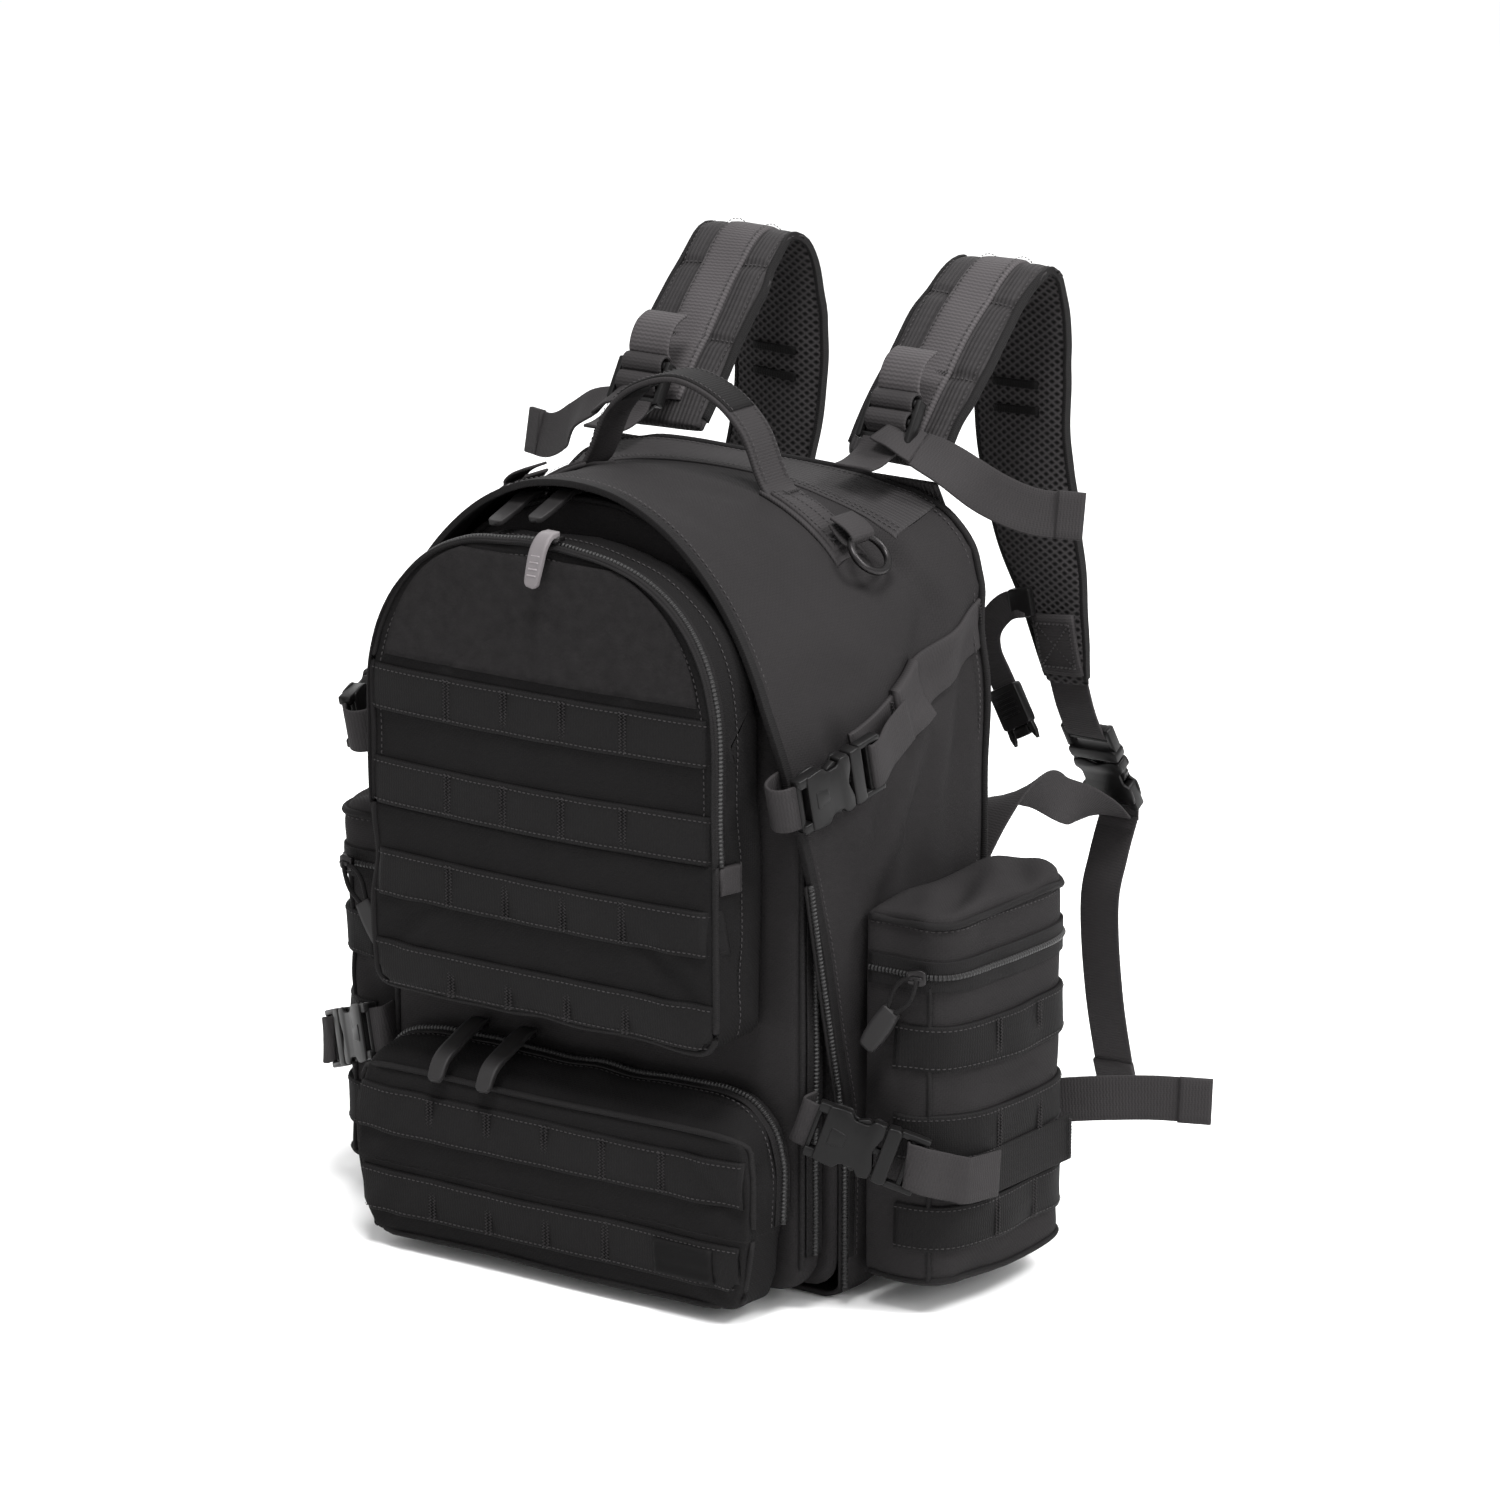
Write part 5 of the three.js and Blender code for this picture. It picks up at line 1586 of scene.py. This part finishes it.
def build_pulls():
    def tab(route, width, thick=3.0, across=(1, 0, 0), taper=0.78):
        path = spline(route, 1.2)
        s = np.linspace(0, 1, len(path))
        wide = width * (taper + (1 - taper) * np.sin(np.pi * np.clip(s * 0.8 + 0.12, 0, 1)))
        wide = wide * np.sqrt(np.clip(1 - np.clip((s - 0.93) / 0.085, 0, 1) ** 2, 0.05, 1))
        return strip(path, across, wide, thick)

    def slider(spot, along, out, body, name):
        """The zip slider's body with its bridge."""
        place = turned(spot, along, out)
        v, f, _ = weld([plate(SLIDER, 0.2, 3.0, 1.2, 0.5),
                        plate(rect(-3.6, 3.4, -1.0, 1.0), 2.6, 5.0, 0.5, 0.5)])
        add(name, place(v), f, STEEL, body, slot="dark_metal")

    data = tab([(8, -177, 411.8), (7.6, -183.6, 411.0), (6.6, -188.2, 405), (4.8, -189.6, 395),
                (3, -190.2, 385)], 9.6)
    put("upper_pull", data, RUBBER, "upper_pull", ["upper_pouch_pull"], "grey_rubber")
    ridges = []
    for z in (402, 398.5, 395, 391.5):
        y = float(np.interp(z, [385, 395, 405], [-190.2, -189.6, -188.2])) - 1.5
        shift = float(np.interp(z, [385, 395, 405], [-5, -3.2, -1.4]))
        ridges.append(tube([(x + shift, y, z) for x in np.linspace(5.2, 10.8, 6)], 0.5, 6,
                           up=(0, 1, 0)))
    put("upper_pull_ridges", weld(ridges), RUBBER, "upper_pull", slot="grey_rubber")
    slider(np.array((8, -176.5, 407.6)), (1, 0, 0), (0, 0, 1), "upper_flap", "upper_slider")

    for side, x in (("left", -38), ("right", -12)):
        crown = arch_height(x, MID)
        route = [(x, -130, crown + 3.2), (x, -140, crown + 2.8), (x, -152, crown - 1.6),
                 (x, -168, crown - 6.5)]
        put(f"front_compartment_pull_{side}", tab(route, 10), PULL, f"mid_pull_{side}",
            [f"mid_pull_{side}"],
            "moulded_plastic")
        slider(np.array((x, -124, crown + 0.6)), (1, 0, 0), (0, 0, 1), f"mid_pull_{side}",
               f"front_compartment_slider_{side}")
    for side, x in (("left", -70), ("right", -38)):
        route = [(x, -140, 127), (x, -147, 126.4), (x, -160, 121.4), (x, -175, 114.2),
                 (x + 1, -183.5, 103.5)]
        put(f"lower_pull_{side}", tab(route, 11), PULL, f"lower_pull_{side}",
            [f"lower_pouch_pull_{side}"],
            "moulded_plastic")
        slider(np.array((x, -143.5, 123.4)), (1, 0, 0), (0, 0, 1), f"lower_pull_{side}",
               f"lower_slider_{side}")

    # Side pouch: a loop of cord with a moulded grip.
    start, way = np.array((187, -108.5, 187.0)), unit(np.array((158 - 180, -2.0, 147 - 180)))
    across = unit(np.array((0.8, 0, -0.6)))
    lines = []
    for s in (-1, 1):
        route = [start + np.array((2, 0, 0)), start + across * s * 4.0 + way * 5,
                 start + across * s * 5.2 + way * 13,
                 start + across * s * 2.2 + way * 24, start + across * s * 1.2 + way * 30]
        lines.append(tube(spline(route, 1.5), 1.3))
    two("side_pull_cord", weld(lines), TAPE, "side_pull", ["side_pouch_pull"])
    route = [start + way * s for s in (23, 30, 40, 50)]
    two("side_pull_grip", tab(route, 12, 4.2, across, 0.7), PULL, "side_pull", slot="moulded_plastic")
    place = turned(np.array((187.5, -104.8, 187.0)), (0.9, 0.2, 0), (0.2, -1, 0))
    parts = [plate(SLIDER, 0.2, 3.2, 1.2, 0.5), plate(rect(-3.4, 3.4, -1.0, 1.0), 2.6, 4.8, 0.5, 0.5)]
    hardware("side_slider", parts, place, "side_lid", (), STEEL, "dark_metal", False)


# ---------------------------------------------------------------- harness
STRAP_LINE = ((78, 29, 420, 70, 12), (79, 56, 452, 70, 12), (81, 90, 487, 70, 12),
              (83, 116, 509, 70, 10),
              (83, 129, 513, 70, 8), (83, 137, 505, 70, 9), (81, 145, 486, 69, 12),
              (80, 150, 450, 67, 13),
              (82, 150, 410, 64, 13), (90, 150, 370, 61, 13), (100, 152, 330, 50, 12),
              (104, 157, 292, 38, 10),
              (105, 162, 273, 34, 8))


CROSS_SEAMS = (55, 105, 185, 240)


def strap_frame():
    """Centre, outward direction, width and thickness along the shoulder strap."""
    rows = spline(np.array(STRAP_LINE, float), 5.0)
    centre = rows[:, :3]
    tangent = unit(np.gradient(centre, axis=0))
    across = unit(np.array((1, 0, 0)) - tangent * tangent[:, :1])
    outward = np.cross(across, tangent)
    outward *= np.sign(outward[0, 2])
    return centre, across, outward, rows[:, 3], rows[:, 4]


def build_straps():
    centre, across, outward, width, thick = strap_frame()
    n = len(centre)
    angles = np.linspace(0, 2 * math.pi, 28, endpoint=False)
    rings = []
    for k in range(n):
        w, t = (width[k] - 3) / 2, (thick[k] - 3) / 2
        ring = []
        for a in angles:
            u = abs(math.cos(a)) ** 0.55 * np.sign(math.cos(a))
            v = abs(math.sin(a)) ** 0.8 * np.sign(math.sin(a))
            ring.append(centre[k] + across[k] * w * u + outward[k] * t * v)
        rings.append(ring)
    verts, faces = rings_mesh(rings)
    lines = np.array(centre)

    def nearest(p):
        d = ((p[:, None, :] - lines[None]) ** 2).sum(2)
        return d.argmin(1)

    def sewn(p):
        k = nearest(p)
        off = p - centre[k]
        u = np.abs((off * across[k]).sum(1)) / (width[k] / 2)
        ends = np.maximum(np.clip((4 - k) / 3, 0, 1), np.clip((k - n + 5) / 3, 0, 1))
        return np.maximum(np.clip((u - 0.78) / 0.1, 0, 1), ends)

    verts, faces = inflate("strap_form", verts, faces, 4.0, 2.4, 4.0, sewn, relax=1)

    def press(p):
        k = nearest(p)
        off = p - centre[k]
        u = (off * across[k]).sum(1)
        out = (off * outward[k]).sum(1)
        run = k * 5.0
        channel = -1.3 * (gauss(np.abs(u) - 14.5, 1.5)) * (out > 0)
        fold = -1.6 * gauss(run - 128, 10) * (out < 0)
        cross = -1.6 * sum(gauss(run - at, 2.6) for at in CROSS_SEAMS) * (out > 0)
        return channel + fold + cross + wrinkles(p, 0.035, (1, 1, 1), 81.0) * 1.5 - 0.3

    verts = crumple(verts, faces, press)
    mids = np.array([verts[list(f)].mean(0) for f in faces])
    k = nearest(mids)
    off = mids - centre[k]
    inside = (off * outward[k]).sum(1) < -0.6
    skin = Skin(verts, faces)
    k = nearest(verts)
    place_on = np.column_stack([k * 5.0, ((verts - centre[k]) * across[k]).sum(1), np.zeros(len(k))])
    for side, sign in SIDES:
        v, f = sided((verts, faces), sign)
        made = add(f"shoulder_pad_{side}", v, f, None, f"strap_{side}", [f"shoulder_strap_{side}"],
                   "strap_fabric",
                   materials=[STRAPS, MESH], pick=inside, lay=place_on)
        made.modifiers.new("refine", "SUBSURF").levels = 1

    # Binding tape along both edges.
    for name, s in (("outer", 1), ("inner", -1)):
        edge = centre + across * (s * (width / 2))[:, None]
        path = skin.trace(edge, across * s, 20)
        two(f"strap_binding_{name}", strip(path[1:-1] - across[1:-1] * s * 0.6, outward[1:-1],
                                           np.clip(thick[1:-1] * 0.45, 4.5, 6.5), 2.2), TAPE, "strap")
    # Centre webbing, its rows of stitching and the sewn channels.
    span = slice(3, n - 3)
    middle = centre[span]
    way = -outward[span]
    web = laid(skin, middle + outward[span] * 10, across[span], 26, way, 0.4, 1.7)
    two("strap_centre_webbing", web, WEB_RIBBED, "strap")
    for edge in (-11, 11):
        line = skin.shoot(middle + across[span] * edge + outward[span] * 40, way,
                          90) + outward[span] * 2.2
        two_rows("strap_stitches", "strap", stitches(line, outward[span], 3.2, 0.42))
    for edge in (-27, 27):
        keep = np.array([i for i in range(2, n - 1) if width[i] / 2 > abs(edge) + 3])
        line = skin.shoot(centre[keep] + across[keep] * edge + outward[keep] * 40, -outward[keep], 90)
        two_rows("strap_stitches", "strap", stitches(line, outward[keep], 3.2, 0.42))
    for run in CROSS_SEAMS:
        k = int(run / 5)
        half = width[k] / 2 - 4
        line = [centre[k] + across[k] * s + outward[k] * 40 for s in np.linspace(-half, half, 16)]
        line = skin.shoot(line, -outward[k], 90) + outward[k] * 0.6
        two_rows("strap_stitches", "strap", stitches(line, outward[k], 3.0, 0.45))
        spot = skin.shoot([centre[k] + outward[k] * 40], -outward[k], 90)[0] + outward[k] * 2.4
        two_rows("strap_stitches", "strap", bar_tack(None, spot, across[k], 24, -outward[k], 2.2))
    # Two short bars on the inner face.
    for k in (int(n * 0.55), int(n * 0.59)):
        starts = [centre[k] + across[k] * s - outward[k] * 40 for s in np.linspace(-14, 14, 10)]
        spots = skin.shoot(starts, outward[k], 90)
        two("strap_bar_%d" % k,
            strip(spots - outward[k] * 0.6, np.cross(across[k], outward[k]), 4.5, 2.4),
            WEB_BLACK, "strap")
    # Box-and-cross stitches at the narrow lower end, on the outer face and on the end webbing.
    low = n - 6

    def box_cross(first, last, half, face, lift, count, size):
        """face is 1 on the outer face of the strap and -1 on the inner one."""
        corners = []
        for k, u in ((first, -half), (first, half), (last, half), (last, -half)):
            way = outward[k] * face
            start = centre[k] + across[k] * u + way * 40
            corners.append(skin.shoot([start], -way, 90)[0] + way * lift)
        for a, b in ((0, 1), (1, 2), (2, 3), (3, 0), (0, 2), (1, 3)):
            line = np.linspace(corners[a], corners[b], count)
            two_rows("strap_stitches", "strap", stitches(line, outward[low] * face, 2.6, size))

    box_cross(low - 5, low, 12, 1, 2.6, 8, 0.5)
    inner = slice(n - 10, n - 2)
    end_web = laid(skin, centre[inner] - outward[inner] * 10, across[inner], 27, outward[inner], 0.4,
                   1.8)
    two("strap_end_webbing", end_web, WEB, "strap")
    box_cross(n - 9, n - 4, 11, -1, 2.5, 9, 0.55)

    # Side-release buckle below the pad.
    anchor = np.array((108, 205.5, 203))
    way = np.array((-0.02, -0.53, 0.85))
    place = turned(anchor, way, (0, 0.85, 0.53))
    hardware("strap_buckle_socket", female_parts(), place, "clasp", ["shoulder_buckle_female"])
    hardware("strap_buckle_plug", male_parts(), place, "strap", ["shoulder_buckle_male"])
    plug_web = place([(48.8, 0, 3.4), (46.0, 0, 0.2), (49.5, 0, -2.8), (56, 0, -3.4), (66, 0, -3.0),
                      (77, 0, -1.5)])
    plug_web = np.vstack([plug_web, centre[n - 5]])
    two("strap_plug_webbing", strip(spline(plug_web, 2), (1, 0, 0), 25, 1.8), WEB, "strap")

def cord_pair(name, path, across, body, node, ripple=0.0):
    """Free flat webbing on both sides."""
    data = strip(path, across, 25, 1.6, ripple)
    for side, sign in SIDES:
        made = put(f"{name}_{side}", (*sided(data, sign), data[2]), WEB, body and f"{body}_{side}",
                   [f"{node}_{side}"])
        if body is None:
            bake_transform(made)
        flat = path * (sign, 1, 1) * MM
        round(float(distance_along(path)[-1]) * MM, 3)
        [tuple(p) for p in flat]


def build_cords():
    tail = spline([(107.5, 211.5, 191), (106, 203, 168), (105, 196, 140), (105, 202, 85),
                   (106, 218, 24)],
                  4)
    cord_pair("adjuster_tail", tail, (1, 0, 0.0), "clasp", "shoulder_tail", 0.5)
    turn = spline([(108, 203.5, 200), (108, 208, 201.5), (107.8, 211, 197), (107.5, 211.6, 189)], 1.5)
    two("shoulder_tail_turn", strip(turn, (1, 0, 0), 24.6, 1.6), WEB, "clasp")
    rows = np.array([(108, 202.5, 192, 1, 0, 0), (108, 182, 200, 0.7, 0, 0.7),
                     (106, 157, 210, 0, 0.2, 1),
                     (105, 132, 222, 0.5, 0, 0.87), (103, 95, 220, 1, 0, 0.1), (98, 60, 175, 1, 0, 0),
                     (94, 45, 110, 1, 0, 0), (90, 41, 62, 1, 0, 0)])
    whole = spline(rows, 4)
    cord_pair("lower_anchor_strap", whole[:, :3], whole[:, 3:], None, "lower_anchor_web")
    tail = spline([(101, 17, 434), (120, 20, 426), (140, 31, 411), (160, 42, 402), (182, 54, 400)], 3)
    turn = np.clip(np.linspace(0, 2.2, len(tail)), 0, 1)[:, None]
    across = unit((1 - turn) * (-0.25, 0.9, 0.55) + turn * (0, 0.3, 1))
    two("load_lifter_tail", strip(tail, across, 25, 1.6, 0.4), WEB, "lifter", ["lifter_tail"])
    waist = spline([(146, 27.5, 80), (170, 32, 81), (195, 48, 83), (224, 66, 84), (251, 80, 83)], 4)
    two("waist_webbing", strip(waist, (0, 0, 1), 25, 1.6, 0.3), WEB, "pack", ["waist_strap"])
    # Folded and sewn ends.
    for name, body, path, across in (("shoulder_tail", "clasp",
                                      [(105.6, 211, 46), (106, 218.6, 22.8)], (1, 0, 0)),
                                     ("lifter_tail", "lifter", [(170, 47.5, 401), (183, 54.6, 400)],
                                      (0, 0.2, 1)),
                                     ("waist_strap", "pack", [(236, 72.3, 83.6), (252, 80.6, 83)],
                                      (0, 0, 1))):
        line = np.linspace(path[0], path[1], 8)
        two(f"{name}_hem", strip(line, across, 25.6, 3.9), WEB, body)


def build_lifters():
    place = turned((82, 22, 444.5), (0, math.cos(1.02), math.sin(1.02)),
                   (0, -math.sin(1.02), math.cos(1.02)))
    parts = []
    for s in (-1, 1):
        parts.append(plate(rect(-12, 13, s * 15.4 - 1.7, s * 15.4 + 1.7), -3.0, 4.4, 1.6, 0.9))
    for x0, x1, h in ((-12, -8, 3.0), (-2, 2, 3.4), (8.6, 13, 3.4)):
        parts.append(plate(rect(x0, x1, -15, 15), -h, h, 1.2, 0.9))
    parts.append(plate([(-17, -9), (-11, -14), (-11, 14), (-17, 9)], -1.6, 2.4, 2.0, 0.8))
    hardware("ladder_lock", parts, place, "lifter", ["lifter_lock"])
    # Webbing from the strap through the lock and down to the shell, rolled over each bar.
    for name, middle, start in (("upper", 10.8, -60), ("lower", 0.0, -30)):
        roll = [(middle + 5.2 * math.cos(math.radians(a)), 0, 1.0 + 5.2 * math.sin(math.radians(a)))
                for a in range(start, start + 271, 18)]
        two(f"lock_roll_{name}", strip(spline(place(roll), 1.2), (1, 0, 0), 26, 1.8), WEB, "lifter")
    up = place([(4, 0, 5.8), (-3, 0, 4.6), (-7, 0, 0.2), (-3.6, 0, -3.8), (4, 0, -4.0), (12, 0, -4.4)])
    two("lock_webbing", strip(spline(up, 2), (1, 0, 0), 25, 1.6), WEB, "lifter")
    # Loose webbing above the lock, humped off the pad.
    hump = place([(15, 0, -2.5), (18, 0, 3.0), (25, 0, 5.2), (33, 0, 4.4), (39, 0, 0.6), (42, 0, -2.6)])
    two("lock_hump_webbing", strip(spline(hump, 1.5), (1, 0, 0), 26, 1.8), WEB_RIBBED, "strap")
    web = spline([(82, -14, 426), (82, -6, 426.5), (82, 2, 428.5), (82, 9, 431.5), (82, 14, 436.5)], 2)
    two("lifter_anchor", strip(web, (1, 0, 0), 25, 1.8), WEB, "pack", ["load_lifter_web"])
    # The tail's first turn, out of the lock and round to the side.
    turn = spline([(84, 14.5, 443.5), (91, 13.5, 441), (98, 15, 436.5), (103, 17, 433.3)], 1.5)
    two("lifter_tail_turn", strip(turn, (-0.25, 0.9, 0.55), 24.4, 1.6), WEB, "lifter")


def build_body_straps():
    path = spline([(88, 143, 322), (76, 142, 318), (66, 142, 306), (65, 143, 293),
                   (70, 145, 280),
                   (75, 145.5, 270)], 2)
    two("sternum_webbing", strip(path, (1, 0, 0), 16, 1.6), WEB, "sternum")
    place = turned((79, 145, 262), (0.48, 0, -0.88), (0, -1, 0))
    parts = [plate(rect(-12, 12, -9.5, 9.5), -3.6, 3.6, 2.5, 1.0),
             plate(rect(12, 18, -5, 5), -2.0, 2.0, 1.5, 0.7)]
    for s in (-1, 1):
        parts.append(plate([(11, s * 5.6), (19, s * 6.6), (22, s * 8.2), (17, s * 9.4), (11, s * 9)],
                           -1.6, 1.6, 0.8,
                           0.5))
    parts += [plate(rect(-8 + k * 3, -7 + k * 3, -6, 6), 3.4, 4.0, 0.4, 0.25) for k in range(5)]
    slider = turned((86, 143, 322), (-1, 0, -0.2), (0, -1, 0))
    bar = plate(rect(-7, 7, -8, 8), -2.6, 2.4, 2.0, 0.8)
    placed = [(place(v), f) for v, f in parts] + [(slider(bar[0]), bar[1])]
    hardware("sternum_clip", placed, np.asarray, "sternum", ["sternum_strap"])


def build_back():
    section = dict(half=118, base=40, spring=330, top=392, power=3, foot=18)
    stations = np.linspace(27.6, 35.4, 4)
    verts, faces = rings_mesh([np.column_stack([r[:, 0], np.full(len(r), y), r[:, 1]])
                               for y in stations for r in [outline(**section, inset=2.5)]])

    def sewn(p):
        channel = np.maximum(gauss(p[:, 0], 7), gauss(np.abs(p[:, 2] - 215) - 78, 6))
        rim = np.clip((np.abs(p[:, 0]) - 109) / 5, 0, 1)
        return np.maximum.reduce([channel * (p[:, 1] > 30), rim, (p[:, 1] < 29) * 1.0])

    verts, faces = inflate("back_form", verts, faces, 5.0, 4.5, 4.5, sewn)
    press = lambda p: (-2.6 * (p[:, 1] > 30) * np.maximum(gauss(p[:, 0], 6),
                                                          gauss(np.abs(p[:, 2] - 215) - 78, 5))
                       + wrinkles(p, 0.02, (1, 1, 1), 91.0) * 0.8)
    verts = crumple(verts, faces, press)
    made = add("back_panel", verts, faces, MESH, "pack", ["back_pad"], "spacer_mesh")
    made.modifiers.new("refine", "SUBSURF").levels = 1
    ring = outline(**section)
    loop = evenly_flat(np.vstack([ring, ring[:1]]), 5)[:-1]
    path = np.column_stack([loop[:, 0], np.full(len(loop), 31.0), loop[:, 1]])
    put("back_panel_piping", tube(path, 2.4, 8, True, (0, 1, 0)), TAPE, "pack")
    # Sewn anchors of the shoulder straps on the back panel's top edge.
    data = strip(spline([(80, 20, 415), (80, 30, 398), (80, 38.5, 384), (80, 39.5, 366)],
                        3), (1, 0, 0),
                 66, 2.2)
    two("strap_anchor", data, STRAPS, "pack", slot="strap_fabric")


# ---------------------------------------------------------------- CAD nodes that show as they are
def finish_nodes():
    for name, material in (("frame_sheet", SHEET), ("frame_stay", ALUMINIUM)):
        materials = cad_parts[name].data.materials
        materials.clear()
        materials.append(material)


make_camera()
make_stage()
build_cords()
shell_skin = build_shell()
build_doors()
build_upper_pouch()
build_lower_pouch()
build_side_pouches()
build_compression(shell_skin)
build_handle(shell_skin)
build_pulls()
build_straps()
build_lifters()
build_body_straps()
build_back()
finish_nodes()
merge_by_body(threads)
bpy.context.view_layer.update()
